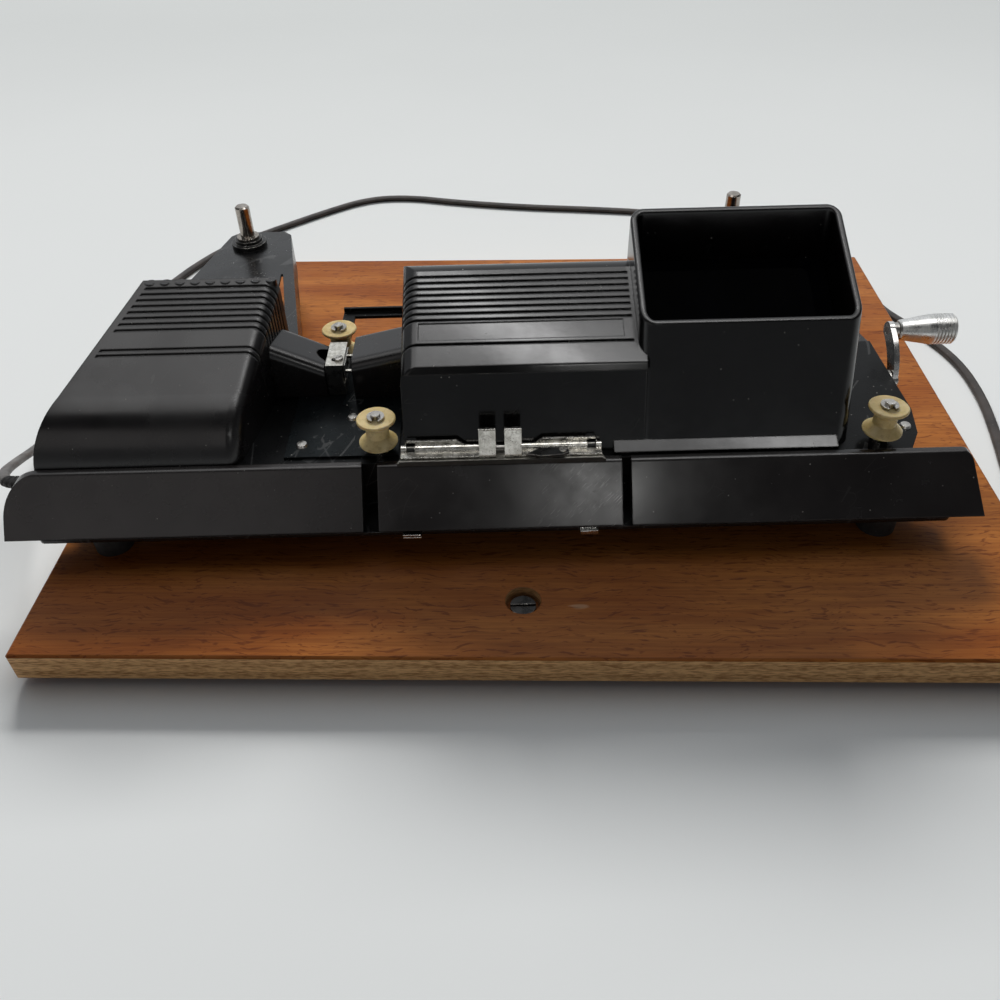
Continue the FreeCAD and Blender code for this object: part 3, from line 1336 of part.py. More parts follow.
nodes["left_collar"] = lambda: placed(collar(), -SPINDLE_X, SPINDLE_Y)
nodes["right_collar"] = lambda: placed(collar(), SPINDLE_X, SPINDLE_Y)
nodes["left_spindle"] = lambda: placed(spindle(SPINDLE_FOOT), -SPINDLE_X, SPINDLE_Y)
nodes["right_spindle"] = lambda: placed(spindle(BELT_Z - PULLEY_HALF_HEIGHT), SPINDLE_X, SPINDLE_Y)
nodes["left_spindle_ring"] = lambda: placed(spindle_ring(), -SPINDLE_X, SPINDLE_Y)


# Drive under the deck: a rubber-tyred wheel on the crank shaft turns a flat disc, and a belt takes its
# turning to the right spindle
def grooved(x, y, radius, half_height, bore):
    rim = radius + BELT_RADIUS * 1.4
    depth = radius - BELT_RADIUS - CONTACT_GAP
    points = [
        (bore, BELT_Z - half_height), (rim, BELT_Z - half_height), (depth, BELT_Z - BELT_RADIUS * 0.7),
        (depth, BELT_Z + BELT_RADIUS * 0.7), (rim, BELT_Z + half_height), (bore, BELT_Z + half_height),
    ]
    return revolve_up(x, y, points)


def disc_top():
    return CRANK_Z - WHEEL_RADIUS - CONTACT_GAP


def drive_disc():
    bore = DISC_AXLE_RADIUS + RUNNING_GAP
    pulley = grooved(DISC_X, CRANK_Y, DISC_PULLEY_RADIUS, PULLEY_HALF_HEIGHT, bore)
    neck_bottom = BELT_Z + PULLEY_HALF_HEIGHT
    disc = upright(DISC_X, CRANK_Y, disc_top() - DISC_THICKNESS, disc_top(), DISC_RADIUS)
    neck = upright(DISC_X, CRANK_Y, neck_bottom, disc_top(), DISC_PULLEY_RADIUS - 4)
    hole = upright(DISC_X, CRANK_Y, BASE_PLATE_TOP, disc_top() + 1, bore)
    return joined([pulley, disc, neck]).cut(hole)


def disc_axle():
    top = disc_top() + DISC_AXLE_ABOVE
    pin = upright(DISC_X, CRANK_Y, FOOT_HEIGHT, top, DISC_AXLE_RADIUS)
    washer_top = BELT_Z - PULLEY_HALF_HEIGHT - CLIP_GAP / 2.0
    washer = upright(DISC_X, CRANK_Y, BASE_PLATE_TOP, washer_top, DISC_AXLE_RADIUS + 2.5)
    head = upright(DISC_X, CRANK_Y, disc_top() + CLIP_GAP, disc_top() + CLIP_GAP + 1.2, DISC_AXLE_RADIUS + 1.5)
    return joined([pin, washer, head])


def spindle_pulley():
    return grooved(SPINDLE_X, SPINDLE_Y, SPINDLE_PULLEY_RADIUS, PULLEY_HALF_HEIGHT, SPINDLE_RADIUS)


def belt_path():
    first = V(DISC_X, CRANK_Y, BELT_Z)
    second = V(SPINDLE_X, SPINDLE_Y, BELT_Z)
    gap = second - first
    lean = math.asin((DISC_PULLEY_RADIUS - SPINDLE_PULLEY_RADIUS) / gap.Length)
    heading = math.atan2(gap.y, gap.x)
    edges = []
    touch = {}
    for sign in (-1, 1):
        angle = heading + sign * (math.pi / 2.0 - lean)
        way = V(math.cos(angle), math.sin(angle), 0)
        touch[sign] = (first + way * DISC_PULLEY_RADIUS, second + way * SPINDLE_PULLEY_RADIUS)
    ahead = V(math.cos(heading), math.sin(heading), 0)
    edges.append(Part.LineSegment(touch[-1][0], touch[-1][1]).toShape())
    edges.append(Part.Arc(touch[-1][1], second + ahead * SPINDLE_PULLEY_RADIUS, touch[1][1]).toShape())
    edges.append(Part.LineSegment(touch[1][1], touch[1][0]).toShape())
    edges.append(Part.Arc(touch[1][0], first - ahead * DISC_PULLEY_RADIUS, touch[-1][0]).toShape())
    return Part.Wire(edges)


def drive_belt():
    path = belt_path()
    start = path.Edges[0].Vertexes[0].Point
    way = path.Edges[0].tangentAt(path.Edges[0].FirstParameter)
    ring = Part.Wire([Part.makeCircle(BELT_RADIUS - CONTACT_GAP, start, way)])
    return path.makePipeShell([ring], True, False)


def friction_wheel():
    wheel = along_x(WHEEL_LEFT, WHEEL_RIGHT, CRANK_Y, CRANK_Z, WHEEL_RADIUS)
    edges = [edge for edge in wheel.Edges if abs(edge.Length - 2 * math.pi * WHEEL_RADIUS) < 0.1]
    wheel = wheel.makeFillet(0.8, edges)
    return wheel.cut(along_x(WHEEL_LEFT - 1, WHEEL_RIGHT + 1, CRANK_Y, CRANK_Z, CRANK_SHAFT_RADIUS))


def crank_plane():
    return DECK_HALF_WIDTH + BEARING_FLANGE + CRANK_ARM_GAP


def crank_shaft():
    end = crank_plane() + CRANK_ARM_THICKNESS + 1.0
    return along_x(CRANK_SHAFT_INNER, end, CRANK_Y, CRANK_Z, CRANK_SHAFT_RADIUS)


def crank_bearing():
    inner = DECK_HALF_WIDTH - BEARING_LENGTH
    bush = along_x(inner, DECK_HALF_WIDTH, CRANK_Y, CRANK_Z, BEARING_RADIUS)
    flange = along_x(DECK_HALF_WIDTH, DECK_HALF_WIDTH + BEARING_FLANGE, CRANK_Y, CRANK_Z, BEARING_FLANGE_RADIUS)
    bore = along_x(inner - 1, DECK_HALF_WIDTH + BEARING_FLANGE + 1, CRANK_Y, CRANK_Z, CRANK_SHAFT_RADIUS + RUNNING_GAP)
    return joined([bush, flange]).cut(bore)


def shaft_bracket():
    half = 6.0
    post = box(BRACKET_X, BRACKET_X + BRACKET_THICKNESS, CRANK_Y - half, CRANK_Y + half, BASE_PLATE_TOP, DECK_UNDER)
    bore = along_x(BRACKET_X - 1, BRACKET_X + BRACKET_THICKNESS + 1, CRANK_Y, CRANK_Z, CRANK_SHAFT_RADIUS + RUNNING_GAP)
    return post.cut(bore)


nodes["drive_disc"] = lambda: drive_disc()
nodes["disc_axle"] = lambda: disc_axle()
nodes["spindle_pulley"] = lambda: spindle_pulley()
nodes["drive_belt"] = lambda: drive_belt()
nodes["friction_wheel"] = lambda: friction_wheel()
nodes["crank_shaft"] = lambda: crank_shaft()
nodes["crank_bearing"] = lambda: crank_bearing()
nodes["shaft_bracket"] = lambda: shaft_bracket()


# Crank: a bowed steel strip on the shaft, with a pin that carries the aluminium knob
def knob_place():
    angle = math.radians(CRANK_ANGLE_DEG)
    return CRANK_Y + CRANK_THROW * math.cos(angle), CRANK_Z + CRANK_THROW * math.sin(angle)


def crank_arm():
    x0 = crank_plane()
    knob_y, knob_z = knob_place()
    half = CRANK_ARM_HALF_WIDTH
    way = V(0, knob_y - CRANK_Y, knob_z - CRANK_Z)
    way.normalize()
    out = V(0, -way.z, way.y)
    hub = V(x0, CRANK_Y, CRANK_Z)
    tip = V(x0, knob_y, knob_z)
    middle = (hub + tip) * 0.5 + out * CRANK_BOW
    edges = [
        Part.Arc(hub + out * half, middle + out * half, tip + out * half).toShape(),
        Part.Arc(tip + out * half, tip + way * half, tip - out * half).toShape(),
        Part.Arc(tip - out * half, middle - out * half, hub - out * half).toShape(),
        Part.Arc(hub - out * half, hub - way * half, hub + out * half).toShape(),
    ]
    strip = Part.Face(Part.Wire(edges)).extrude(V(CRANK_ARM_THICKNESS, 0, 0))
    strip = strip.cut(along_x(x0 - 1, x0 + CRANK_ARM_THICKNESS + 1, CRANK_Y, CRANK_Z, CRANK_SHAFT_RADIUS))
    return strip.cut(along_x(x0 - 1, x0 + CRANK_ARM_THICKNESS + 1, knob_y, knob_z, KNOB_PIN_RADIUS))


def knob_start():
    return crank_plane() + CRANK_ARM_THICKNESS + KNOB_STAND_OFF


def knob_pin():
    y, z = knob_place()
    x0 = crank_plane()
    end = knob_start() + KNOB_LENGTH
    pin = along_x(x0, end + CLIP_GAP + KNOB_HEAD_THICKNESS, y, z, KNOB_PIN_RADIUS)
    head = along_x(end + CLIP_GAP, end + CLIP_GAP + KNOB_HEAD_THICKNESS, y, z, KNOB_HEAD_RADIUS)
    washer = along_x(x0 + CRANK_ARM_THICKNESS, knob_start() - CLIP_GAP, y, z, KNOB_PIN_RADIUS + 1.4)
    return joined([pin, head, washer])


def crank_knob():
    y, z = knob_place()
    x0 = knob_start()
    x1 = x0 + KNOB_LENGTH
    ringed = x1 - 1.2 - KNOB_RINGS * KNOB_RING_PITCH
    bore = KNOB_PIN_RADIUS + RUNNING_GAP
    points = [(x0, bore), (x0, KNOB_INNER_RADIUS - 0.6), (x0 + 0.6, KNOB_INNER_RADIUS)]
    points.append((ringed, KNOB_OUTER_RADIUS))
    for index in range(KNOB_RINGS):
        x = ringed + index * KNOB_RING_PITCH
        points.append((x + KNOB_RING_PITCH * 0.5, KNOB_OUTER_RADIUS))
        points.append((x + KNOB_RING_PITCH * 0.75, KNOB_OUTER_RADIUS - KNOB_RING_DEPTH))
        points.append((x + KNOB_RING_PITCH, KNOB_OUTER_RADIUS))
    points.append((x1 - 0.6, KNOB_OUTER_RADIUS))
    points.append((x1, KNOB_OUTER_RADIUS - 0.6))
    points.append((x1, bore))
    return revolve_along_x(y, z, points)


nodes["crank_arm"] = lambda: crank_arm()
nodes["knob_pin"] = lambda: knob_pin()
nodes["crank_knob"] = lambda: crank_knob()


# Splicer on the middle bar: a railed bed, two hinged clamps with curled fingers and the cutter lever
def splicer_top():
    return BAR_TOP + SPLICER_PLATE


def hinge_axis():
    return SPLICER_BACK - KNUCKLE_RADIUS, splicer_top() + CLAMP_GAP + ROLL_RADIUS


def splicer_bed():
    z0 = BAR_TOP
    z1 = splicer_top()
    face = polygon(
        [
            V(SPLICER_LEFT, SPLICER_FRONT, z0), V(SPLICER_RIGHT, SPLICER_FRONT, z0),
            V(SPLICER_RIGHT - 3, SPLICER_BACK, z0), V(SPLICER_LEFT + 3, SPLICER_BACK, z0),
        ]
    )
    bed = face.extrude(V(0, 0, z1 - z0))
    front_rail = box(
        SPLICER_LEFT + 1, SPLICER_RIGHT - 1, SPLICER_FRONT, SPLICER_FRONT + SPLICER_RAIL, z1, z1 + SPLICER_RAIL_HEIGHT
    )
    hinge_y, hinge_z = hinge_axis()
    knuckles = []
    for x in knuckle_places():
        block = box(x, x + KNUCKLE_WIDTH, hinge_y - KNUCKLE_RADIUS, SPLICER_BACK, z1, hinge_z)
        top = along_x(x, x + KNUCKLE_WIDTH, hinge_y, hinge_z, KNUCKLE_RADIUS)
        knuckles.append(joined([block, top]).cut(along_x(x - 1, x + KNUCKLE_WIDTH + 1, hinge_y, hinge_z, HINGE_RADIUS)))
    return joined([bed, front_rail] + knuckles)


def knuckle_places():
    return SPLICER_LEFT + KNUCKLE_INSET, SPLICER_RIGHT - KNUCKLE_INSET - KNUCKLE_WIDTH


def clamp_bottom():
    return splicer_top() + CLAMP_GAP


def clamp_flange(span, ramp_left):
    hinge_y, hinge_z = hinge_axis()
    x0, x1 = span
    top = hinge_z + CLAMP_FLANGE_HEIGHT
    left_ramp = CLAMP_FLANGE_RAMP if ramp_left else 1.5
    right_ramp = 1.5 if ramp_left else CLAMP_FLANGE_RAMP
    y0 = hinge_y + ROLL_RADIUS - CLAMP_FLANGE_THICKNESS
    face = polygon([V(x0, y0, hinge_z), V(x1, y0, hinge_z), V(x1 - right_ramp, y0, top), V(x0 + left_ramp, y0, top)])
    return face.extrude(V(0, CLAMP_FLANGE_THICKNESS, 0))


def clamp(span, finger_side, flange_span):
    hinge_y, hinge_z = hinge_axis()
    z0 = clamp_bottom()
    z1 = z0 + CLAMP_THICKNESS
    x0, x1 = span
    plate = box(x0, x1, CLAMP_FRONT, hinge_y, z0, z1)
    roll = along_x(x0, x1, hinge_y, hinge_z, ROLL_RADIUS)
    finger_x = x1 - FINGER_WIDTH if finger_side > 0 else x0
    points = [
        (CLAMP_FRONT, z0), (CLAMP_FRONT, z1 + 0.4), (CLAMP_FRONT + 2.0, z1 + FINGER_HEIGHT - 1.0),
        (CLAMP_FRONT + 2.0 - FINGER_CURL, z1 + FINGER_HEIGHT), (CLAMP_FRONT + 2.4 - FINGER_CURL, z1 + FINGER_HEIGHT + 0.6),
        (CLAMP_FRONT + 3.0, z1 + FINGER_HEIGHT - 0.6), (CLAMP_FRONT + 1.2, z1), (CLAMP_FRONT + 1.2, z0),
    ]
    finger = side(points, finger_x, finger_x + FINGER_WIDTH)
    flange = clamp_flange(flange_span, finger_side < 0)
    body = joined([plate, roll, finger, flange])
    for x in knuckle_places():
        notch = box(
            x - CLAMP_GAP, x + KNUCKLE_WIDTH + CLAMP_GAP, hinge_y - ROLL_RADIUS, SPLICER_BACK + ROLL_RADIUS,
            z0 - 1, hinge_z + ROLL_RADIUS + 1,
        )
        body = body.cut(notch)
    return body.cut(along_x(x0 - 1, x1 + 1, hinge_y, hinge_z, HINGE_RADIUS + RUNNING_GAP))


def right_clamp():
    z1 = clamp_bottom() + CLAMP_THICKNESS
    head_bottom = cutter_bottom() + CUTTER_THICKNESS + CLIP_GAP
    stud = upright(CUTTER_PIVOT_X, CUTTER_PIVOT_Y, z1 - 0.5, head_bottom, CUTTER_PIVOT_RADIUS)
    head = upright(CUTTER_PIVOT_X, CUTTER_PIVOT_Y, head_bottom, head_bottom + CUTTER_HEAD, CUTTER_HEAD_RADIUS)
    return joined([clamp(RIGHT_CLAMP_SPAN, -1, RIGHT_FLANGE_SPAN), stud, head])


def splicer_pin():
    hinge_y, hinge_z = hinge_axis()
    return along_x(SPLICER_LEFT + KNUCKLE_INSET, SPLICER_RIGHT - KNUCKLE_INSET, hinge_y, hinge_z, HINGE_RADIUS)


def cutter_bottom():
    return clamp_bottom() + CLAMP_THICKNESS + CLIP_GAP


def cutter_lever():
    x0, x1 = CUTTER_SPAN
    z0 = cutter_bottom()
    lever = polygon(
        [
            V(x0, CLAMP_FRONT - 1.0, z0), V(x0 + 6.0, CLAMP_FRONT - 2.4, z0), V(x1 - 3.0, CLAMP_FRONT - 1.8, z0),
            V(x1, CUTTER_PIVOT_Y - 1.0, z0), V(x1, CUTTER_PIVOT_Y + 0.8, z0), V(x1 - 3.0, CUTTER_PIVOT_Y + 2.2, z0),
            V(x0 + 6.0, CUTTER_PIVOT_Y + 2.4, z0),
        ]
    )
    bore = upright(CUTTER_PIVOT_X, CUTTER_PIVOT_Y, z0 - 1, z0 + CUTTER_THICKNESS + 1, CUTTER_PIVOT_RADIUS + RUNNING_GAP)
    return lever.extrude(V(0, 0, CUTTER_THICKNESS)).cut(bore)


nodes["splicer_bed"] = lambda: splicer_bed()
nodes["left_clamp"] = lambda: clamp(LEFT_CLAMP_SPAN, 1, LEFT_FLANGE_SPAN)
nodes["right_clamp"] = lambda: right_clamp()
nodes["splicer_pin"] = lambda: splicer_pin()
nodes["cutter_lever"] = lambda: cutter_lever()


# Cord: it leaves the left side of the deck through a grommet, lies on the bench round the back of the board
# and ends in a flat coil with the plug in its middle
CORD_Z = TABLE + CORD_RADIUS
CORD_START_X = DECK_LEFT - GROMMET_REACH


def cord_points():
    air = [
        V(CORD_START_X, CORD_EXIT_Y, CORD_EXIT_Z),
        V(-202, CORD_EXIT_Y, CORD_EXIT_Z),
        V(-213, 33.5, 21),
        V(-219.5, 47, 15),
        V(-224, 66, 6),
        V(-228, 88, -4.5),
    ]
    bench = [
        (-231.5, 116), (-232.5, 150), (-231.5, 190), (-226, 230), (-216, 268), (-202, 304), (-184, 334), (-155, 360),
        (-126, 385), (-94, 409), (-62, 411), (-24, 399), (24, 388), (72, 381), (118, 373), (162, 354),
        (200, 325), (229, 290), (240.5, 254), (238.5, 226), (253, 197), (264, 164), (263, 128), (256, 93), (247, 58),
        (245, 33),
    ]
    return air + [V(x, y, CORD_Z) for x, y in bench] + [V(COIL_LEFT, COIL_Y + 2 * CORD_RADIUS, CORD_Z)]


def rounded_path(points):
    edges = []
    at = points[0]
    for index in range(1, len(points) - 1):
        before = points[index - 1]
        here = points[index]
        after = points[index + 1]
        into = here - before
        away = after - here
        turn = into.getAngle(away)
        reach = 0.45 * min(into.Length, away.Length)
        radius = reach / math.tan(turn / 2.0)
        print("cord point", index, "turn", round(math.degrees(turn), 1), "radius", round(radius, 1))
        into.normalize()
        away.normalize()
        start = here - into * reach
        end = here + away * reach
        half_way = (into * -1 + away)
        half_way.normalize()
        centre_gap = math.sqrt(radius * radius + reach * reach)
        middle = here + half_way * (centre_gap - radius)
        edges.append(Part.LineSegment(at, start).toShape())
        edges.append(Part.Arc(start, middle, end).toShape())
        at = end
    edges.append(Part.LineSegment(at, points[-1]).toShape())
    return Part.Wire(edges)


def tube(path, radius):
    start = path.Edges[0].Vertexes[0].Point
    way = path.Edges[0].tangentAt(path.Edges[0].FirstParameter)
    ring = Part.Wire([Part.makeCircle(radius, start, way)])
    return path.makePipeShell([ring], True, False)


def power_cord():
    path = rounded_path(cord_points())
    solid = tube(path, CORD_RADIUS)
    ideal = math.pi * CORD_RADIUS ** 2 * path.Length
    print("cord length", round(path.Length, 1), "volume ratio", round(solid.Volume / ideal, 4))
    return solid


def coil_path():
    start = V(COIL_LEFT, COIL_Y, CORD_Z)
    edges = [Part.LineSegment(start + V(0, 2 * CORD_RADIUS, 0), start).toShape()]
    step = COIL_PITCH / 2.0
    inward = [COIL_OUTER - index * step for index in range(2 * COIL_TURNS)]
    climb = inward[-1] - step
    outward = [climb + (index + 1) * step for index in range(2 * COIL_TURNS - 1)]
    way = 1
    for radius in inward + [climb] + outward:
        rise = COIL_LAYER if radius == climb else 0
        end = start + V(way * 2 * radius, 0, rise)
        reach = (end - start).Length / 2.0
        middle = (start + end) * 0.5 + V(0, -way * reach, 0)
        edges.append(Part.Arc(start, middle, end).toShape())
        start = end
        way = -way
    tail_end = start + V(0, -COIL_TAIL, 0)
    edges.append(Part.LineSegment(start, tail_end).toShape())
    return Part.Wire(edges), tail_end


def least_gap(path):
    points = path.discretize(Distance=COIL_PITCH / 4.0)
    apart = int(math.pi * COIL_OUTER / (COIL_PITCH / 4.0) / 2.0)
    least = COIL_OUTER
    for index, point in enumerate(points):
        for other in points[index + apart:]:
            least = min(least, point.distanceToPoint(other))
    return least - 2 * CORD_RADIUS


def cord_coil():
    path = coil_path()[0]
    solid = tube(path, CORD_RADIUS)
    ideal = math.pi * CORD_RADIUS ** 2 * path.Length
    print("coil length", round(path.Length, 1), "volume ratio", round(solid.Volume / ideal, 4))
    print("coil least gap", round(least_gap(path), 2))
    return solid


def plug():
    end = coil_path()[1]
    height = end.z - TABLE
    neck_back = end.y
    body_back = neck_back - PLUG_NECK
    body_front = body_back - PLUG_LENGTH
    half = PLUG_WIDTH / 2.0
    body = box(end.x - half, end.x + half, body_front, body_back, TABLE, TABLE + 2 * height)
    body = body.makeFillet(3.0, [edge for edge in body.Edges if abs(edge.CenterOfMass.y - body_front) > 0.1])
    neck = Part.makeCone(PLUG_NECK_RADIUS, height - 1.5, PLUG_NECK, end, V(0, -1, 0))
    blades = []
    for sign in (-1, 1):
        x = end.x + sign * PLUG_BLADE_SPACING / 2.0
        blades.append(
            box(
                x - PLUG_BLADE_THICKNESS / 2.0, x + PLUG_BLADE_THICKNESS / 2.0,
                body_front - PLUG_BLADE_LENGTH, body_front,
                end.z - PLUG_BLADE_WIDTH / 2.0, end.z + PLUG_BLADE_WIDTH / 2.0,
            )
        )
    return joined([body, neck] + blades)


def cord_grommet():
    x_in = DECK_LEFT + SHEET + GROMMET_FLANGE
    body = along_x(CORD_START_X, x_in, CORD_EXIT_Y, CORD_EXIT_Z, GROMMET_RADIUS)
    outer = along_x(DECK_LEFT - GROMMET_FLANGE, DECK_LEFT, CORD_EXIT_Y, CORD_EXIT_Z, GROMMET_FLANGE_RADIUS)
    inner = along_x(DECK_LEFT + SHEET, x_in, CORD_EXIT_Y, CORD_EXIT_Z, GROMMET_FLANGE_RADIUS)
    return joined([body, outer, inner])


nodes["cord_grommet"] = lambda: cord_grommet()
nodes["power_cord"] = lambda: power_cord()
nodes["cord_coil"] = lambda: cord_coil()
nodes["plug"] = lambda: plug()


# Origin under the middle of the object without its cord, on the bench, and one file for each piece
CORD_NODES = ("power_cord", "cord_coil", "plug")


def export_all():
    os.makedirs("parts", exist_ok=True)
    shapes = {name: make() for name, make in nodes.items()}
    extent = FreeCAD.BoundBox()
    for name, shape in shapes.items():
        if name not in CORD_NODES:
            extent.add(shape.BoundBox)
    shift = V(-extent.Center.x, -extent.Center.y, -extent.ZMin)
    print("shift", round(shift.x, 3), round(shift.y, 3), round(shift.z, 3))
    for name, shape in shapes.items():
        shape.translate(shift)
        if shape.ShapeType == "Compound" and len(shape.Solids) == 1:
            shape = shape.Solids[0]
        box_now = shape.BoundBox
        print(
            name, "solids", len(shape.Solids), "valid", shape.isValid(), "volume", round(shape.Volume, 1), "from",
            round(box_now.XMin, 1), round(box_now.YMin, 1), round(box_now.ZMin, 1),
        )
        shape.exportStep("parts/" + name + ".step")


export_all()
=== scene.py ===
import math

import bpy
from mathutils import Matrix, Vector


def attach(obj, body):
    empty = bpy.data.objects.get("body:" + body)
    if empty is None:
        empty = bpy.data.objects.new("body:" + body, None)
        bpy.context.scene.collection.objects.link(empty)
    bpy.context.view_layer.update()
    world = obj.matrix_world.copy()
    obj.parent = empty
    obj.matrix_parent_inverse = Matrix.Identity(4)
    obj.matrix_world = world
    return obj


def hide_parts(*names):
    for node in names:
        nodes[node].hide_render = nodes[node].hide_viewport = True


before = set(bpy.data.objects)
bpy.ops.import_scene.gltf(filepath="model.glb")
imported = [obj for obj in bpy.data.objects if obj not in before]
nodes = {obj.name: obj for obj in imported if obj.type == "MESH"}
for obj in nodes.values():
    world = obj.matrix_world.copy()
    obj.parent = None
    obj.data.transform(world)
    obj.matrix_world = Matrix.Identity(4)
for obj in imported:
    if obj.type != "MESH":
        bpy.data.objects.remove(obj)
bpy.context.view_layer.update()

# The part's own axes, in millimetres, start at the middle of the viewer's front: this is that place in the scene
DEVICE_ORIGIN = (-0.016534, -0.108, 0.017)


def at(x, y, z):
    return Vector((DEVICE_ORIGIN[0] + x * 0.001, DEVICE_ORIGIN[1] + y * 0.001, DEVICE_ORIGIN[2] + z * 0.001))


# Table and light: a pale matt table under a large soft window behind and above the viewer.
# The back of the room is bright and the front of it darker, so the side towards the camera lies in shade.
CAMERA_PLACE = (2.5, -269.9, 268.8)
CAMERA_PITCH_DEG = 41.3
CAMERA_ROLL_DEG = -1.477
CAMERA_LENS = 32.55
TABLE_HALF = 6.0
TABLE_FRONT_COLOUR = (0.79, 0.805, 0.805)
TABLE_BACK_PAINTED_SHADE = (0.46, 0.475, 0.475)
ROOM_COLOUR = (0.90, 0.93, 0.96)
ROOM_FRONT = 0.06
ROOM_LOW = 0.20
ROOM_BACK = 0.85

camera_data = bpy.data.cameras.new("camera")
camera_data.sensor_fit = "HORIZONTAL"
camera_data.sensor_width = 36.0
camera_data.lens = CAMERA_LENS
camera_data.clip_start = 0.01
camera_data.clip_end = 20.0
camera = bpy.data.objects.new("camera", camera_data)
bpy.context.scene.collection.objects.link(camera)
pitch = math.radians(CAMERA_PITCH_DEG)
roll = math.radians(CAMERA_ROLL_DEG)
forward = Vector((0.0, math.cos(pitch), -math.sin(pitch)))
down = Vector((0.0, -math.sin(pitch), -math.cos(pitch)))
across = Vector((1.0, 0.0, 0.0))
image_right = across * math.cos(roll) - down * math.sin(roll)
image_down = across * math.sin(roll) + down * math.cos(roll)
turn = Matrix((image_right, -image_down, -forward)).transposed().to_4x4()
camera.matrix_world = Matrix.Translation(at(*CAMERA_PLACE)) @ turn
bpy.context.scene.camera = camera


def add(tree, kind, settings=None, **inputs):
    node = tree.nodes.new("ShaderNode" + kind)
    for name, value in (settings or {}).items():
        setattr(node, name, value)
    for name, value in inputs.items():
        socket = node.inputs[name.replace("_", " ")]
        if isinstance(value, bpy.types.NodeSocket):
            tree.links.new(value, socket)
        else:
            socket.default_value = value
    return node


def calc(tree, operation, *values):
    node = tree.nodes.new("ShaderNodeMath")
    node.operation = operation
    for socket, value in zip(node.inputs, values):
        if isinstance(value, bpy.types.NodeSocket):
            tree.links.new(value, socket)
        else:
            socket.default_value = value
    return node.outputs[0]


def remap(tree, value, low, high, to_low=0.0, to_high=1.0):
    node = add(
        tree, "MapRange", {"interpolation_type": "SMOOTHSTEP"}, Value=value, From_Min=low, From_Max=high,
        To_Min=to_low, To_Max=to_high,
    )
    return node.outputs["Result"]


def blend(tree, mask, under, over, mode="MIX"):
    node = tree.nodes.new("ShaderNodeMix")
    node.data_type = "RGBA"
    node.blend_type = mode
    for socket, value in ((node.inputs[0], mask), (node.inputs[6], under), (node.inputs[7], over)):
        if isinstance(value, bpy.types.NodeSocket):
            tree.links.new(value, socket)
        else:
            socket.default_value = value if isinstance(value, float) else (*value, 1.0)
    return node.outputs[2]


world = bpy.data.worlds.new("room")
bpy.context.scene.world = world
world.use_nodes = True
room = world.node_tree
facing = add(room, "TexCoord").outputs["Generated"]
facing = add(room, "SeparateXYZ", Vector=facing)
towards_back = calc(room, "MULTIPLY_ADD", facing.outputs["Y"], 0.85, calc(room, "MULTIPLY", facing.outputs["Z"], 0.6))
room.nodes["Background"].inputs["Color"].default_value = (*ROOM_COLOUR, 1.0)
upper = remap(room, towards_back, 0.30, 1.05, ROOM_FRONT, ROOM_BACK)
walls = remap(room, facing.outputs["Z"], 0.50, 0.30, 0.0, ROOM_LOW)
room.links.new(calc(room, "MAXIMUM", upper, walls), room.nodes["Background"].inputs["Strength"])

table_material = bpy.data.materials.new("table")
table_material.use_nodes = True
tree = table_material.node_tree
shader = tree.nodes["Principled BSDF"]
shader.inputs["Roughness"].default_value = 0.8
shader.inputs["Specular IOR Level"].default_value = 0.15
place = add(tree, "TexCoord").outputs["Object"]
# The table is painted paler at the front and darker towards the back: painted light and shade over an even pale table
cloudy = add(tree, "TexNoise", Vector=place, Scale=3.0, Detail=3.0).outputs["Fac"]
depth = calc(tree, "MULTIPLY_ADD", cloudy, 0.1, add(tree, "SeparateXYZ", Vector=place).outputs["Y"])
table_painted_falloff = blend(tree, remap(tree, depth, -0.1, 1.1), TABLE_FRONT_COLOUR, TABLE_BACK_PAINTED_SHADE)
tree.links.new(table_painted_falloff, shader.inputs["Base Color"])
table_mesh = bpy.data.meshes.new("table")
corners = [(-TABLE_HALF, -TABLE_HALF, 0), (TABLE_HALF, -TABLE_HALF, 0), (TABLE_HALF, TABLE_HALF, 0), (-TABLE_HALF, TABLE_HALF, 0)]
table_mesh.from_pydata(corners, [], [(0, 1, 2, 3)])
table_mesh.materials.append(table_material)
table = bpy.data.objects.new("table", table_mesh)
bpy.context.scene.collection.objects.link(table)


def window(name, place, aim, size, radiance, colour, seen_by):
    data = bpy.data.lights.new(name, "AREA")
    data.shape = "RECTANGLE"
    data.size = size[0]
    data.size_y = size[1]
    data.energy = radiance * math.pi * size[0] * size[1]
    data.color = colour
    lamp = bpy.data.objects.new(name, data)
    lamp.location = place
    lamp.rotation_euler = (Vector(aim) - Vector(place)).to_track_quat("-Z", "Y").to_euler()
    lamp.visible_diffuse = "shade" in seen_by
    lamp.visible_glossy = "gloss" in seen_by
    lamp.visible_camera = False
    bpy.context.scene.collection.objects.link(lamp)


window("back_window", (-0.30, 3.55, 2.40), (0, 0, 0), (2.4, 0.9), 32.0, (1.0, 0.99, 0.97), ["shade"])
window("ceiling", (0.0, 0.05, 1.50), (0, 0, 0), (1.9, 0.9), 1.7, (1.0, 0.985, 0.975), ["gloss"])
window("ceiling_strip", (0.15, 0.215, 1.60), (0, 0, 0), (1.5, 0.09), 9.0, (1.0, 1.0, 1.0), ["gloss"])
window("left_window", (-0.52, -0.78, 0.55), (-0.16, -0.10, 0.04), (0.62, 0.42), 0.55, (1.0, 0.95, 0.93), ["gloss"])
window("side_window", (0.085, -0.56, 0.40), (0.01, -0.10, 0.045), (0.085, 0.060), 9.0, (1.0, 1.0, 0.98), ["gloss"])

# Wear that the finishes share: dust specks, hair scratches, cloudy patina and rounded, rubbed edges.
# Each is a node group that puts out a mask, a value or a normal.


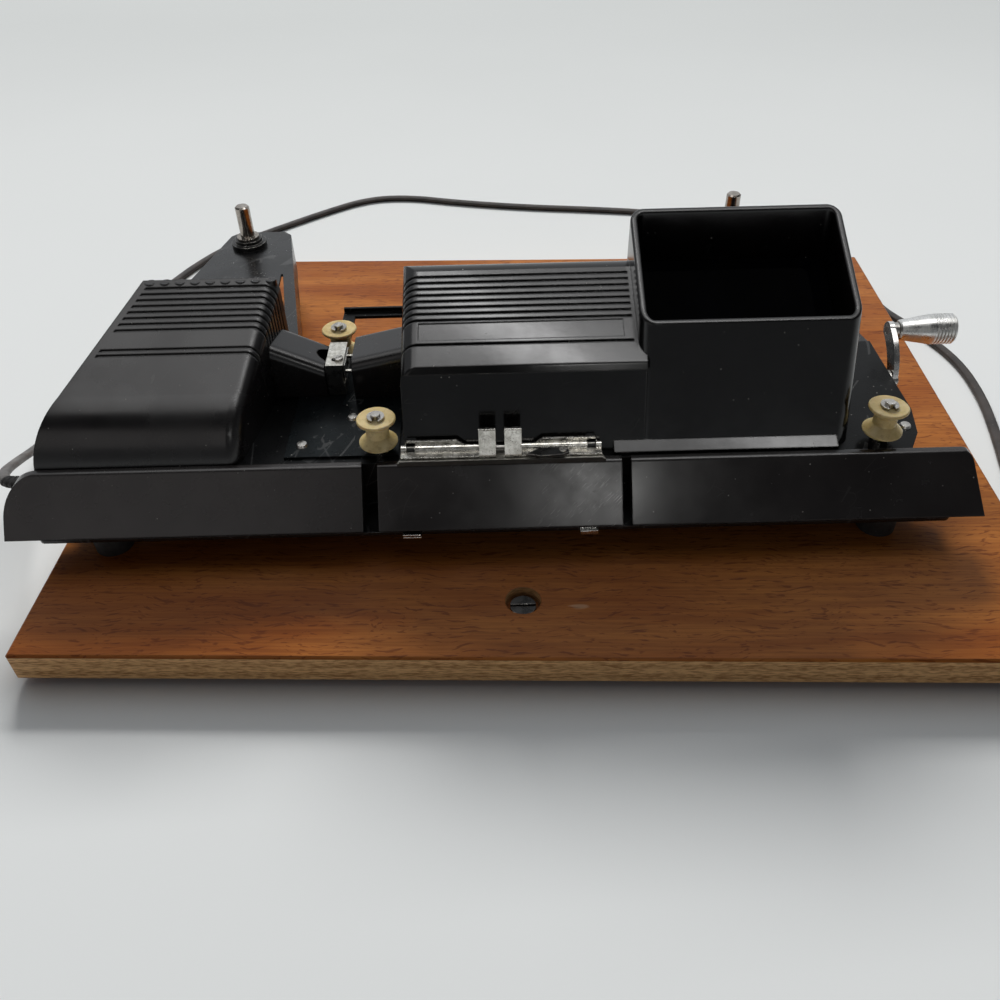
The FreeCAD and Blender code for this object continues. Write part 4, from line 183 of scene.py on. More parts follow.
def shared(name, inputs, outputs):
    group = bpy.data.node_groups.new(name, "ShaderNodeTree")
    for label, kind, value in inputs:
        socket = group.interface.new_socket(label, in_out="INPUT", socket_type="NodeSocket" + kind)
        if value is not None:
            socket.default_value = value
    for label, kind in outputs:
        group.interface.new_socket(label, in_out="OUTPUT", socket_type="NodeSocket" + kind)
    return group, group.nodes.new("NodeGroupInput"), group.nodes.new("NodeGroupOutput")


dust, given, result = shared(
    "dust_specks",
    [("Vector", "Vector", None), ("Scale", "Float", 300.0), ("Size", "Float", 0.09), ("Amount", "Float", 0.3)],
    [("Mask", "Float")],
)
cells = add(dust, "TexVoronoi", Vector=given.outputs["Vector"], Scale=given.outputs["Scale"])
patches = add(dust, "TexNoise", Vector=given.outputs["Vector"], Scale=90.0, Detail=2.0)
spot = calc(dust, "LESS_THAN", cells.outputs["Distance"], given.outputs["Size"])
some = calc(dust, "LESS_THAN", add(dust, "SeparateColor", Color=cells.outputs["Color"]).outputs[0], given.outputs["Amount"])
patch = remap(dust, patches.outputs["Fac"], 0.42, 0.6, 0.25, 1.0)
dust.links.new(calc(dust, "MULTIPLY", calc(dust, "MULTIPLY", spot, some), patch), result.inputs["Mask"])

scratches, given, result = shared(
    "hair_scratches",
    [("Vector", "Vector", None), ("Scale", "Float", 30.0), ("Width", "Float", 0.004), ("Amount", "Float", 0.5)],
    [("Mask", "Float")],
)
marks = None
for turned, stretch in ((0.5, (1.0, 0.16, 1.0)), (1.9, (0.16, 1.0, 0.6)), (2.7, (1.0, 0.3, 0.2))):
    mapping = add(scratches, "Mapping", Vector=given.outputs["Vector"], Rotation=(0.3, turned, turned))
    mapping = add(scratches, "Mapping", Vector=mapping.outputs["Vector"], Scale=stretch)
    lines = add(scratches, "TexNoise", Vector=mapping.outputs["Vector"], Scale=given.outputs["Scale"], Detail=1.0)
    off_line = calc(scratches, "ABSOLUTE", calc(scratches, "SUBTRACT", lines.outputs["Fac"], 0.5))
    thin = calc(scratches, "LESS_THAN", off_line, given.outputs["Width"])
    marks = thin if marks is None else calc(scratches, "MAXIMUM", marks, thin)
patches = add(scratches, "TexNoise", Vector=given.outputs["Vector"], Scale=55.0, Detail=3.0)
threshold = calc(scratches, "SUBTRACT", 1.0, given.outputs["Amount"])
kept = calc(scratches, "GREATER_THAN", patches.outputs["Fac"], threshold)
scratches.links.new(calc(scratches, "MULTIPLY", marks, kept), result.inputs["Mask"])

patina, given, result = shared(
    "cloudy_patina",
    [("Vector", "Vector", None), ("Scale", "Float", 60.0), ("Low", "Float", 0.0), ("High", "Float", 1.0)],
    [("Value", "Float")],
)
clouds = add(patina, "TexNoise", Vector=given.outputs["Vector"], Scale=given.outputs["Scale"], Detail=7.0, Roughness=0.6)
patina.links.new(
    remap(patina, clouds.outputs["Fac"], 0.3, 0.7, given.outputs["Low"], given.outputs["High"]), result.inputs["Value"]
)

edges, given, result = shared(
    "rubbed_edges",
    [("Radius", "Float", 0.0005), ("Start", "Float", 0.01), ("End", "Float", 0.12)],
    [("Mask", "Float"), ("Normal", "Vector")],
)
rounded = add(edges, "Bevel", {"samples": 4}, Radius=given.outputs["Radius"]).outputs["Normal"]
flat = add(edges, "NewGeometry").outputs["Normal"]
same = add(edges, "VectorMath", {"operation": "DOT_PRODUCT"})
edges.links.new(rounded, same.inputs[0])
edges.links.new(flat, same.inputs[1])
bent = calc(edges, "SUBTRACT", 1.0, same.outputs["Value"])
edges.links.new(remap(edges, bent, given.outputs["Start"], given.outputs["End"]), result.inputs["Mask"])
edges.links.new(rounded, result.inputs["Normal"])


def started(name):
    made = bpy.data.materials.new(name)
    made.use_nodes = True
    tree = made.node_tree
    return made, tree, tree.nodes["Principled BSDF"], add(tree, "TexCoord").outputs["Object"]


def use(tree, group, **inputs):
    return add(tree, "Group", {"node_tree": group}, **inputs).outputs


def raised(tree, shader, height, strength, distance, normal=None):
    bump = add(tree, "Bump", Height=height, Strength=strength, Distance=distance)
    if normal is not None:
        tree.links.new(normal, bump.inputs["Normal"])
    tree.links.new(bump.outputs["Normal"], shader.inputs["Normal"])


def dress(made, *names):
    for name in names:
        piece = nodes[name]
        if not piece.material_slots:
            piece.data.materials.append(made)
        for slot in piece.material_slots:
            slot.material = made


# Board: a varnished plywood board, skewed a little under the viewer, held by one screw from above.
# Its top is reddish with short dark flecks, its cut sides are yellower, show the plies and are painted lighter still as
# painted light on them.
BOARD_TURN = math.radians(2.2)
BOARD_DARK = (0.30, 0.080, 0.010)
BOARD_LIGHT = (0.48, 0.170, 0.034)
BOARD_FLECK = (0.12, 0.022, 0.004)
BOARD_SIDE_DARK_WITH_PAINTED_LIGHT = (0.34, 0.165, 0.060)
BOARD_SIDE_LIGHT_WITH_PAINTED_LIGHT = (0.74, 0.44, 0.20)
BOARD_SCUFF = (0.62, 0.40, 0.24)
SCUFF_PLACE = at(33, -29, 0)
PLY = 0.0028

wood, tree, shader, place = started("wood")
along = add(tree, "Mapping", Vector=place, Rotation=(0, 0, BOARD_TURN)).outputs["Vector"]
broad = add(tree, "Mapping", Vector=along, Scale=(5, 26, 26)).outputs["Vector"]
broad = add(tree, "TexNoise", Vector=broad, Scale=1.0, Detail=5.0, Distortion=1.1).outputs["Fac"]
top = blend(tree, remap(tree, broad, 0.32, 0.68), BOARD_DARK, BOARD_LIGHT)
fine = add(tree, "Mapping", Vector=along, Scale=(28, 900, 900)).outputs["Vector"]
fine = add(tree, "TexNoise", Vector=fine, Scale=1.0, Detail=4.0).outputs["Fac"]
top = blend(tree, remap(tree, fine, 0.35, 0.65, 0.0, 0.35), top, BOARD_FLECK)
bowed = add(tree, "TexNoise", Vector=along, Scale=40.0, Detail=1.0).outputs["Color"]
bowed = add(tree, "VectorMath", {"operation": "SCALE"}, Vector=bowed, Scale=0.012).outputs["Vector"]
bowed_place = add(tree, "VectorMath", {"operation": "ADD"})
tree.links.new(along, bowed_place.inputs[0])
tree.links.new(bowed, bowed_place.inputs[1])
flecks = add(tree, "Mapping", Vector=bowed_place.outputs["Vector"], Scale=(105, 950, 950)).outputs["Vector"]
flecks = add(tree, "TexNoise", Vector=flecks, Scale=1.0, Detail=2.5).outputs["Fac"]
fleck = remap(tree, flecks, 0.56, 0.66, 0.0, 0.62)
top = blend(tree, fleck, top, BOARD_FLECK)
away = add(tree, "VectorMath", {"operation": "SUBTRACT"}, Vector=place)
away.inputs[1].default_value = SCUFF_PLACE
away = add(tree, "Mapping", Vector=away.outputs["Vector"], Scale=(1.0, 3.0, 0.5)).outputs["Vector"]
away = add(tree, "VectorMath", {"operation": "LENGTH"}, Vector=away).outputs["Value"]
ragged = calc(tree, "ADD", away, calc(tree, "MULTIPLY", flecks, 0.006))
top = blend(tree, remap(tree, ragged, 0.0075, 0.0055, 0.0, 0.5), top, BOARD_SCUFF)
layer = calc(tree, "DIVIDE", add(tree, "SeparateXYZ", Vector=place).outputs["Z"], PLY)
odd = calc(tree, "GREATER_THAN", calc(tree, "FRACT", calc(tree, "MULTIPLY", layer, 0.5)), 0.5)
pores = add(tree, "Mapping", Vector=along, Scale=(260, 260, 1500)).outputs["Vector"]
pores = add(tree, "TexNoise", Vector=pores, Scale=1.0, Detail=4.0).outputs["Fac"]
streaked = calc(tree, "ADD", remap(tree, pores, 0.35, 0.62, 0.0, 0.75), calc(tree, "MULTIPLY", odd, 0.25))
# The cut sides are the yellower end grain with its plies, painted lighter as well to stand in for light falling on them
side = blend(tree, streaked, BOARD_SIDE_DARK_WITH_PAINTED_LIGHT, BOARD_SIDE_LIGHT_WITH_PAINTED_LIGHT)
level = calc(tree, "ABSOLUTE", add(tree, "SeparateXYZ", Vector=add(tree, "NewGeometry").outputs["Normal"]).outputs["Z"])
tree.links.new(blend(tree, remap(tree, level, 0.3, 0.7), side, top), shader.inputs["Base Color"])
gloss = add(tree, "TexNoise", Vector=along, Scale=35.0, Detail=4.0).outputs["Fac"]
tree.links.new(remap(tree, gloss, 0.3, 0.7, 0.34, 0.44), shader.inputs["Roughness"])
shader.inputs["Specular IOR Level"].default_value = 0.12
edge = use(tree, edges, Radius=0.0008)
grain = calc(tree, "ADD", calc(tree, "MULTIPLY", fine, 0.4), calc(tree, "MULTIPLY", fleck, -0.6))
raised(tree, shader, grain, 0.22, 0.0002, edge["Normal"])
dress(wood, "wood_board")

# Painted sheet: base plate, stepped deck, film track and the two arms are pressed steel under black enamel.
# The paint has a fine orange peel, is rubbed thin on the edges and carries dust and hair scratches.


def painted(name, dark, light, rough_low, rough_high, shine):
    made, tree, shader, place = started(name)
    colour = blend(tree, use(tree, patina, Vector=place, Scale=70.0)["Value"], dark, light)
    specks = use(tree, dust, Vector=place, Scale=420.0, Size=0.13, Amount=0.22)["Mask"]
    hairs = use(tree, scratches, Vector=place, Scale=36.0, Width=0.0035, Amount=0.47)["Mask"]
    edge = use(tree, edges, Radius=0.0005)
    rubbed = calc(tree, "MULTIPLY", edge["Mask"], use(tree, patina, Vector=place, Scale=260.0)["Value"])
    colour = blend(tree, calc(tree, "MULTIPLY", rubbed, 0.3), colour, (0.12, 0.115, 0.11))
    colour = blend(tree, calc(tree, "MULTIPLY", hairs, 0.35), colour, (0.10, 0.10, 0.10))
    colour = blend(tree, calc(tree, "MULTIPLY", specks, 0.6), colour, (0.35, 0.34, 0.32))
    tree.links.new(colour, shader.inputs["Base Color"])
    rough = use(tree, patina, Vector=place, Scale=38.0, Low=rough_low, High=rough_high)["Value"]
    tree.links.new(calc(tree, "ADD", rough, calc(tree, "MULTIPLY", specks, 0.4)), shader.inputs["Roughness"])
    shader.inputs["Specular IOR Level"].default_value = shine
    peel = add(tree, "TexNoise", Vector=place, Scale=1100.0, Detail=2.0).outputs["Fac"]
    raised(tree, shader, peel, 0.10, 0.0001, edge["Normal"])
    return made


enamel = painted("enamel", (0.0035, 0.0036, 0.0040), (0.0075, 0.0075, 0.0080), 0.20, 0.36, 0.45)
deck_paint = painted("deck_paint", (0.0030, 0.0032, 0.0036), (0.0065, 0.0068, 0.0072), 0.22, 0.36, 0.10)
track_paint = painted("track_paint", (0.0035, 0.0052, 0.0062), (0.0065, 0.0095, 0.0110), 0.22, 0.34, 0.10)
dress(enamel, "base_plate", "left_arm", "right_arm")
dress(deck_paint, "deck_pan")
dress(track_paint, "track_plate")

# Rubber: feet, pads under the board, the friction wheel, the belt and the grommet, dull and a little dusty.
rubber, tree, shader, place = started("rubber")
colour = blend(tree, use(tree, patina, Vector=place, Scale=160.0)["Value"], (0.006, 0.006, 0.006), (0.020, 0.019, 0.018))
specks = use(tree, dust, Vector=place, Scale=700.0, Size=0.2, Amount=0.4)["Mask"]
tree.links.new(blend(tree, calc(tree, "MULTIPLY", specks, 0.4), colour, (0.16, 0.15, 0.14)), shader.inputs["Base Color"])
tree.links.new(use(tree, patina, Vector=place, Scale=200.0, Low=0.5, High=0.8)["Value"], shader.inputs["Roughness"])
grain = add(tree, "TexNoise", Vector=place, Scale=1800.0, Detail=3.0).outputs["Fac"]
raised(tree, shader, grain, 0.35, 0.0002, use(tree, edges, Radius=0.0006)["Normal"])
dress(rubber, "rubber_feet", "board_pads", "friction_wheel", "drive_belt", "cord_grommet")

# Moulded black pieces: the front bars, the lamphouse with its two shrouds and the viewer housing with its hood.
# They are glossy phenolic mouldings with softly rounded edges, specks of dust and fine wiping marks.


def moulded(name, dark, light, rough_low, rough_high, dusty, hairs_amount):
    made, tree, shader, place = started(name)
    colour = blend(tree, use(tree, patina, Vector=place, Scale=24.0)["Value"], dark, light)
    specks = use(tree, dust, Vector=place, Scale=330.0, Size=0.085, Amount=dusty)["Mask"]
    hairs = use(tree, scratches, Vector=place, Scale=75.0, Width=0.0030, Amount=hairs_amount)["Mask"]
    edge = use(tree, edges, Radius=0.0007)
    rubbed = calc(tree, "MULTIPLY", edge["Mask"], use(tree, patina, Vector=place, Scale=180.0)["Value"])
    colour = blend(tree, calc(tree, "MULTIPLY", rubbed, 0.35), colour, (0.075, 0.068, 0.064))
    colour = blend(tree, calc(tree, "MULTIPLY", hairs, 0.3), colour, (0.06, 0.056, 0.054))
    colour = blend(tree, calc(tree, "MULTIPLY", specks, 0.7), colour, (0.42, 0.40, 0.36))
    tree.links.new(colour, shader.inputs["Base Color"])
    rough = use(tree, patina, Vector=place, Scale=30.0, Low=rough_low, High=rough_high)["Value"]
    tree.links.new(calc(tree, "ADD", rough, calc(tree, "MULTIPLY", specks, 0.4)), shader.inputs["Roughness"])
    ripple = add(tree, "TexNoise", Vector=place, Scale=130.0, Detail=2.0).outputs["Fac"]
    raised(tree, shader, ripple, 0.05, 0.0004, edge["Normal"])
    return made


# One black moulding in three copies whose brightness is painted light and shade: the bars painted lightest, the
# lamphouse lighter, the viewer housing darkest
lamphouse_black = moulded("lamphouse_black", (0.0070, 0.0058, 0.0060), (0.0105, 0.0088, 0.0090), 0.20, 0.32, 0.20, 0.36)
viewer_black = moulded("viewer_black", (0.0022, 0.0018, 0.0019), (0.0040, 0.0033, 0.0034), 0.10, 0.20, 0.14, 0.36)
bar_black_painted_light = moulded("bar_black_painted_light", (0.0170, 0.0140, 0.0138), (0.0250, 0.0205, 0.0200), 0.18, 0.30, 0.24, 0.40)
dress(lamphouse_black, "lamphouse_cover", "condenser_shroud", "lens_shroud")
dress(viewer_black, "viewer_housing", "plug")
dress(bar_black_painted_light, "left_front_bar", "right_front_bar")

# The middle bar is the one that hands rub against: its right half is scuffed with short slanting strokes
SCUFF_LEFT = at(8, 0, 0).x
SCUFF_RIGHT = at(34, 0, 0).x
SCUFF_SLANT = math.radians(38)

scuffed = bar_black_painted_light.copy()
scuffed.name = "scuffed_bar_black"
dress(scuffed, "centre_front_bar")
tree = scuffed.node_tree
shader = tree.nodes["Principled BSDF"]
place = add(tree, "TexCoord").outputs["Object"]
strokes = add(tree, "Mapping", Vector=place, Rotation=(0, SCUFF_SLANT, 0)).outputs["Vector"]
strokes = add(tree, "Mapping", Vector=strokes, Scale=(190, 190, 2400)).outputs["Vector"]
strokes = add(tree, "TexNoise", Vector=strokes, Scale=1.0, Detail=2.0).outputs["Fac"]
spread_x = add(tree, "SeparateXYZ", Vector=place).outputs["X"]
patch = add(tree, "TexNoise", Vector=place, Scale=110.0, Detail=2.0).outputs["Fac"]
rubbed = calc(tree, "MULTIPLY", remap(tree, spread_x, SCUFF_LEFT, SCUFF_RIGHT), remap(tree, patch, 0.40, 0.62))
rubbed = calc(tree, "MULTIPLY", rubbed, remap(tree, strokes, 0.60, 0.66, 0.0, 0.75))
was = shader.inputs["Base Color"].links[0].from_socket
tree.links.new(blend(tree, rubbed, was, (0.30, 0.295, 0.28)), shader.inputs["Base Color"])

# Plated pieces: the splicer, gate, roller posts, spindles, reflector and crank arm are chromed steel gone dull.
# The plate is pitted and scratched, and dirt has settled in it away from the edges that fingers polish.


def plated(name, dark, light, rough_low, rough_high, pits):
    made, tree, shader, place = started(name)
    cloud = use(tree, patina, Vector=place, Scale=240.0)["Value"]
    edge = use(tree, edges, Radius=0.0003)
    colour = blend(tree, cloud, dark, light)
    colour = blend(tree, calc(tree, "MULTIPLY", edge["Mask"], 0.5), colour, (0.86, 0.84, 0.80))
    pitted = use(tree, dust, Vector=place, Scale=1500.0, Size=0.26, Amount=pits)["Mask"]
    colour = blend(tree, calc(tree, "MULTIPLY", pitted, 0.8), colour, (0.05, 0.042, 0.034))
    hairs = use(tree, scratches, Vector=place, Scale=120.0, Width=0.006, Amount=0.52)["Mask"]
    colour = blend(tree, calc(tree, "MULTIPLY", hairs, 0.4), colour, (0.20, 0.19, 0.17))
    tree.links.new(colour, shader.inputs["Base Color"])
    shader.inputs["Metallic"].default_value = 1.0
    rough = use(tree, patina, Vector=place, Scale=300.0, Low=rough_low, High=rough_high)["Value"]
    tree.links.new(calc(tree, "ADD", rough, calc(tree, "MULTIPLY", pitted, 0.3)), shader.inputs["Roughness"])
    brushed = add(tree, "Mapping", Vector=place, Scale=(60, 60, 4000)).outputs["Vector"]
    brushed = add(tree, "TexNoise", Vector=brushed, Scale=1.0, Detail=2.0).outputs["Fac"]
    raised(tree, shader, calc(tree, "SUBTRACT", brushed, pitted), 0.10, 0.0001, edge["Normal"])
    return made


chrome = plated("chrome", (0.42, 0.395, 0.36), (0.66, 0.64, 0.60), 0.12, 0.28, 0.35)
bed_plate = plated("bed_plate", (0.16, 0.155, 0.135), (0.34, 0.33, 0.30), 0.30, 0.46, 0.70)
splicer_plate = plated("splicer_plate", (0.40, 0.385, 0.345), (0.74, 0.72, 0.67), 0.18, 0.34, 0.55)
spindle_plate = plated("spindle_plate", (0.26, 0.23, 0.20), (0.42, 0.38, 0.34), 0.10, 0.22, 0.30)
arm_plate = plated("arm_plate", (0.62, 0.61, 0.59), (0.80, 0.79, 0.77), 0.16, 0.30, 0.20)
steel = plated("steel", (0.36, 0.345, 0.32), (0.56, 0.54, 0.51), 0.22, 0.42, 0.45)
dress(chrome, "lamp_reflector", "roller_posts", "pressure_plate")
dress(bed_plate, "splicer_bed")

# The low front face of the bed is painted near black and dull: painted shade on the faces that look to the front
tree = bed_plate.node_tree
shader = tree.nodes["Principled BSDF"]
front_face = add(tree, "SeparateXYZ", Vector=add(tree, "NewGeometry").outputs["Normal"]).outputs["Y"]
front_painted_shade = remap(tree, front_face, -0.25, -0.6, 0.0, 0.95)
was = shader.inputs["Base Color"].links[0].from_socket
tree.links.new(blend(tree, front_painted_shade, was, (0.012, 0.012, 0.010)), shader.inputs["Base Color"])
tree.links.new(calc(tree, "SUBTRACT", 1.0, front_painted_shade), shader.inputs["Metallic"])
dress(splicer_plate, "left_clamp", "right_clamp")
dress(spindle_plate, "left_spindle", "right_spindle")
dress(arm_plate, "crank_arm")
dress(
    steel, "deck_screws", "arm_screws", "foot_screws", "lamp_socket", "roller_clips", "left_spindle_ring", "drive_disc", "disc_axle",
    "crank_shaft", "crank_bearing", "shaft_bracket", "knob_pin", "splicer_pin",
)

# Blackened steel: reel collars, cutter blade, mirror bracket and the board screw, with bright rubbed edges.
black_steel, tree, shader, place = started("black_steel")
cloud = use(tree, patina, Vector=place, Scale=200.0)["Value"]
edge = use(tree, edges, Radius=0.0006, Start=0.02, End=0.2)
colour = blend(tree, cloud, (0.006, 0.006, 0.007), (0.020, 0.019, 0.018))
rubbed = calc(tree, "MULTIPLY", edge["Mask"], remap(tree, cloud, 0.1, 0.9, 0.35, 1.0))
tree.links.new(blend(tree, rubbed, colour, (0.50, 0.48, 0.44)), shader.inputs["Base Color"])
tree.links.new(remap(tree, rubbed, 0.0, 1.0, 0.25, 0.9), shader.inputs["Metallic"])
tree.links.new(use(tree, patina, Vector=place, Scale=260.0, Low=0.22, High=0.45)["Value"], shader.inputs["Roughness"])
grain = add(tree, "TexNoise", Vector=place, Scale=1500.0, Detail=3.0).outputs["Fac"]
raised(tree, shader, grain, 0.2, 0.0001, edge["Normal"])
dress(black_steel, "left_collar", "right_collar", "cutter_lever", "mirror_bracket", "board_screw")

# Film gate: a small block with a bright worn top where the film is threaded, and black paint on its sides.
gate, tree, shader, place = started("gate")
level = add(tree, "SeparateXYZ", Vector=add(tree, "NewGeometry").outputs["Normal"]).outputs["Z"]
cloud = use(tree, patina, Vector=place, Scale=420.0)["Value"]
edge = use(tree, edges, Radius=0.0004)
worn = calc(tree, "MAXIMUM", remap(tree, level, 0.4, 0.8), calc(tree, "MULTIPLY", edge["Mask"], cloud))
metal = blend(tree, cloud, (0.44, 0.42, 0.37), (0.78, 0.76, 0.70))
tree.links.new(blend(tree, worn, (0.012, 0.012, 0.012), metal), shader.inputs["Base Color"])
tree.links.new(worn, shader.inputs["Metallic"])
tree.links.new(use(tree, patina, Vector=place, Scale=500.0, Low=0.22, High=0.5)["Value"], shader.inputs["Roughness"])
raised(tree, shader, cloud, 0.2, 0.0001, edge["Normal"])
dress(gate, "film_gate")

# Gate screw: a small cheese-head screw that holds the gate block down, in the hole at the block's front.
GATE_SCREW = at(-67.55, 74.0, 52.2)
GATE_SCREW_RADIUS = 0.0021
GATE_SCREW_HEIGHT = 0.0012
GATE_SCREW_SLOT = 0.0006


def alone():
    bpy.ops.object.select_all(action="DESELECT")


def solid(name, made, body):
    piece = bpy.context.active_object
    piece.name = name
    bpy.ops.object.mode_set(mode="OBJECT")
    bpy.ops.object.transform_apply(location=True, rotation=True, scale=True)
    piece.data.materials.clear()
    piece.data.materials.append(made)
    bpy.ops.object.shade_smooth_by_angle(angle=math.radians(35))
    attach(piece, body)
    return piece


alone()
bpy.ops.mesh.primitive_cylinder_add(
    vertices=32, radius=GATE_SCREW_RADIUS, depth=GATE_SCREW_HEIGHT, location=GATE_SCREW + Vector((0, 0, GATE_SCREW_HEIGHT / 2))
)
gate_screw = bpy.context.active_object
rounding = gate_screw.modifiers.new("rounding", "BEVEL")
rounding.width = 0.00025
rounding.segments = 3
bpy.ops.object.modifier_apply(modifier="rounding")
alone()
bpy.ops.mesh.primitive_cube_add(size=1.0, location=GATE_SCREW + Vector((0, 0, GATE_SCREW_HEIGHT)), rotation=(0, 0, 0.6))
slot_tool = bpy.context.active_object
slot_tool.scale = (0.006, GATE_SCREW_SLOT, GATE_SCREW_HEIGHT)
slotted = gate_screw.modifiers.new("slotted", "BOOLEAN")
slotted.operation = "DIFFERENCE"
slotted.object = slot_tool
alone()
gate_screw.select_set(True)
bpy.context.view_layer.objects.active = gate_screw
bpy.ops.object.modifier_apply(modifier="slotted")
bpy.data.objects.remove(slot_tool)
gate_screw = solid("gate_screw", steel, "base")

# Plate clips: two small bent tabs of steel under the middle bar that hold it to the plate's front edge.
CLIP_PLACES = (-34.0, 39.0)
CLIP_SIZE = (0.0075, 0.0034, 0.0009)
CLIP_LIP = 0.0016

for index, clip_x in enumerate(CLIP_PLACES):
    alone()
    bpy.ops.mesh.primitive_cube_add(size=1.0, location=(0, 0, 0))
    clip = bpy.context.active_object
    clip.scale = CLIP_SIZE
    clip.location = at(clip_x, 2.6, 11.6)
    bpy.ops.object.transform_apply(location=True, rotation=False, scale=True)
    for polygon in clip.data.polygons:
        polygon.select = polygon.normal.y < -0.5
    bpy.ops.object.mode_set(mode="EDIT")
    bpy.ops.mesh.select_mode(type="FACE")
    bpy.ops.mesh.extrude_region_move(TRANSFORM_OT_translate={"value": (0, -0.0007, 0.0002)})
    bpy.ops.mesh.extrude_region_move(TRANSFORM_OT_translate={"value": (0, -0.0003, CLIP_LIP)})
    bpy.ops.mesh.select_all(action="SELECT")
    bpy.ops.mesh.normals_make_consistent(inside=False)
    bpy.ops.object.mode_set(mode="OBJECT")
    rounding = clip.modifiers.new("rounding", "BEVEL")
    rounding.width = 0.0002
    rounding.segments = 2
    bpy.ops.object.modifier_apply(modifier="rounding")
    clip = solid("plate_clip_" + str(index + 1), arm_plate, "base")

# Rollers: three flanged film rollers of cream nylon, yellowed, with grime in the groove.
nylon, tree, shader, place = started("nylon")
cloud = use(tree, patina, Vector=place, Scale=110.0)["Value"]
colour = blend(tree, cloud, (0.52, 0.385, 0.145), (0.70, 0.560, 0.290))
grime = use(tree, patina, Vector=place, Scale=420.0)["Value"]
colour = blend(tree, remap(tree, grime, 0.55, 1.0, 0.0, 0.4), colour, (0.30, 0.19, 0.07))
tree.links.new(colour, shader.inputs["Base Color"])
tree.links.new(use(tree, patina, Vector=place, Scale=150.0, Low=0.28, High=0.48)["Value"], shader.inputs["Roughness"])
shader.inputs["Subsurface Weight"].default_value = 0.35
shader.inputs["Subsurface Radius"].default_value = (1.0, 0.7, 0.35)
shader.inputs["Subsurface Scale"].default_value = 0.0025
turned = add(tree, "TexNoise", Vector=place, Scale=900.0, Detail=2.0).outputs["Fac"]
raised(tree, shader, turned, 0.12, 0.0001, use(tree, edges, Radius=0.0004)["Normal"])
dress(nylon, "gate_roller", "front_roller", "right_roller")

# Turned aluminium: the crank knob, the lens barrel and the belt pulley, with fine turning rings.
aluminium, tree, shader, place = started("aluminium")
cloud = use(tree, patina, Vector=place, Scale=180.0)["Value"]
rings = add(tree, "Mapping", Vector=place, Scale=(5200, 30, 30)).outputs["Vector"]
rings = add(tree, "TexNoise", Vector=rings, Scale=1.0, Detail=2.0).outputs["Fac"]
edge = use(tree, edges, Radius=0.0004)
colour = blend(tree, cloud, (0.66, 0.655, 0.63), (0.86, 0.855, 0.84))
colour = blend(tree, remap(tree, rings, 0.3, 0.7, 0.0, 0.35), colour, (0.30, 0.295, 0.28))
tree.links.new(blend(tree, calc(tree, "MULTIPLY", edge["Mask"], 0.6), colour, (0.9, 0.9, 0.88)), shader.inputs["Base Color"])
shader.inputs["Metallic"].default_value = 1.0
tree.links.new(use(tree, patina, Vector=place, Scale=200.0, Low=0.20, High=0.40)["Value"], shader.inputs["Roughness"])
raised(tree, shader, rings, 0.15, 0.0001, edge["Normal"])
dress(aluminium, "crank_knob", "lens_barrel", "spindle_pulley")

# Glass: the condenser, lens glasses and bulb are clear, the viewing screen is a glossy plate painted near black as the
# shade inside the hood, the mirror bright.
clear_glass, tree, shader, place = started("clear_glass")
smudge = use(tree, patina, Vector=place, Scale=90.0)["Value"]
tree.links.new(blend(tree, smudge, (0.80, 0.83, 0.82), (0.93, 0.95, 0.94)), shader.inputs["Base Color"])
tree.links.new(remap(tree, smudge, 0.0, 1.0, 0.02, 0.12), shader.inputs["Roughness"])
shader.inputs["Transmission Weight"].default_value = 1.0
dress(clear_glass, "condenser_lens", "lens_elements", "lamp_bulb")

screen_glass, tree, shader, place = started("screen_glass")
smudge = use(tree, patina, Vector=place, Scale=45.0)["Value"]
# The screen's colour is painted near black: painted shade inside the hood
tree.links.new(blend(tree, smudge, (0.0012, 0.0013, 0.0020), (0.0030, 0.0032, 0.0042)), shader.inputs["Base Color"])
specks = use(tree, dust, Vector=place, Scale=380.0, Size=0.07, Amount=0.2)["Mask"]
rough = calc(tree, "ADD", remap(tree, smudge, 0.0, 1.0, 0.03, 0.09), calc(tree, "MULTIPLY", specks, 0.4))
tree.links.new(rough, shader.inputs["Roughness"])
shader.inputs["IOR"].default_value = 1.03
dress(screen_glass, "viewing_screen")

silvered, tree, shader, place = started("silvered")
smudge = use(tree, patina, Vector=place, Scale=60.0)["Value"]
tree.links.new(blend(tree, smudge, (0.66, 0.68, 0.70), (0.84, 0.85, 0.87)), shader.inputs["Base Color"])
tree.links.new(remap(tree, smudge, 0.0, 1.0, 0.02, 0.07), shader.inputs["Roughness"])
shader.inputs["Metallic"].default_value = 1.0
dress(silvered, "mirror")

# Cord: a flat two-core lead. It leaves the left end of the viewer through the grommet, goes round behind the
# board on the table, and its loose length is wound in a coil beside the board with the plug at its end.
CORD_WIDTH = 0.0054
CORD_THICKNESS = 0.0030
CORD_TABLE_Z = -17.0 + 1.5
CORD_IN_AIR = [
    (-189.5, 27.5, 24.0), (-202.0, 27.5, 24.0), (-213.0, 33.5, 21.0), (-219.5, 47.0, 15.0), (-224.0, 66.0, 6.0),
    (-228.0, 88.0, -4.5),
]
CORD_ON_TABLE = [
    (-231.5, 116), (-232.5, 150), (-231.5, 190), (-226, 230), (-216, 268), (-202, 304), (-184, 334), (-155, 360),
    (-126, 385), (-94, 409), (-62, 411), (-24, 399), (24, 388), (72, 381), (118, 373), (162, 354), (200, 325),
    (229, 290), (240.5, 254), (238.5, 226), (253, 197), (264, 164), (263, 128), (256, 93), (247, 58), (245, 33),
]
COIL_LEFT = 245.0
COIL_MIDDLE_Y = 12.0
COIL_OUTER = 36.0
COIL_STEP = 3.2
COIL_HALF_TURNS = 6
COIL_LAYER = 6.0
COIL_TAIL = 26.0
POINTS_PER_HALF_TURN = 6

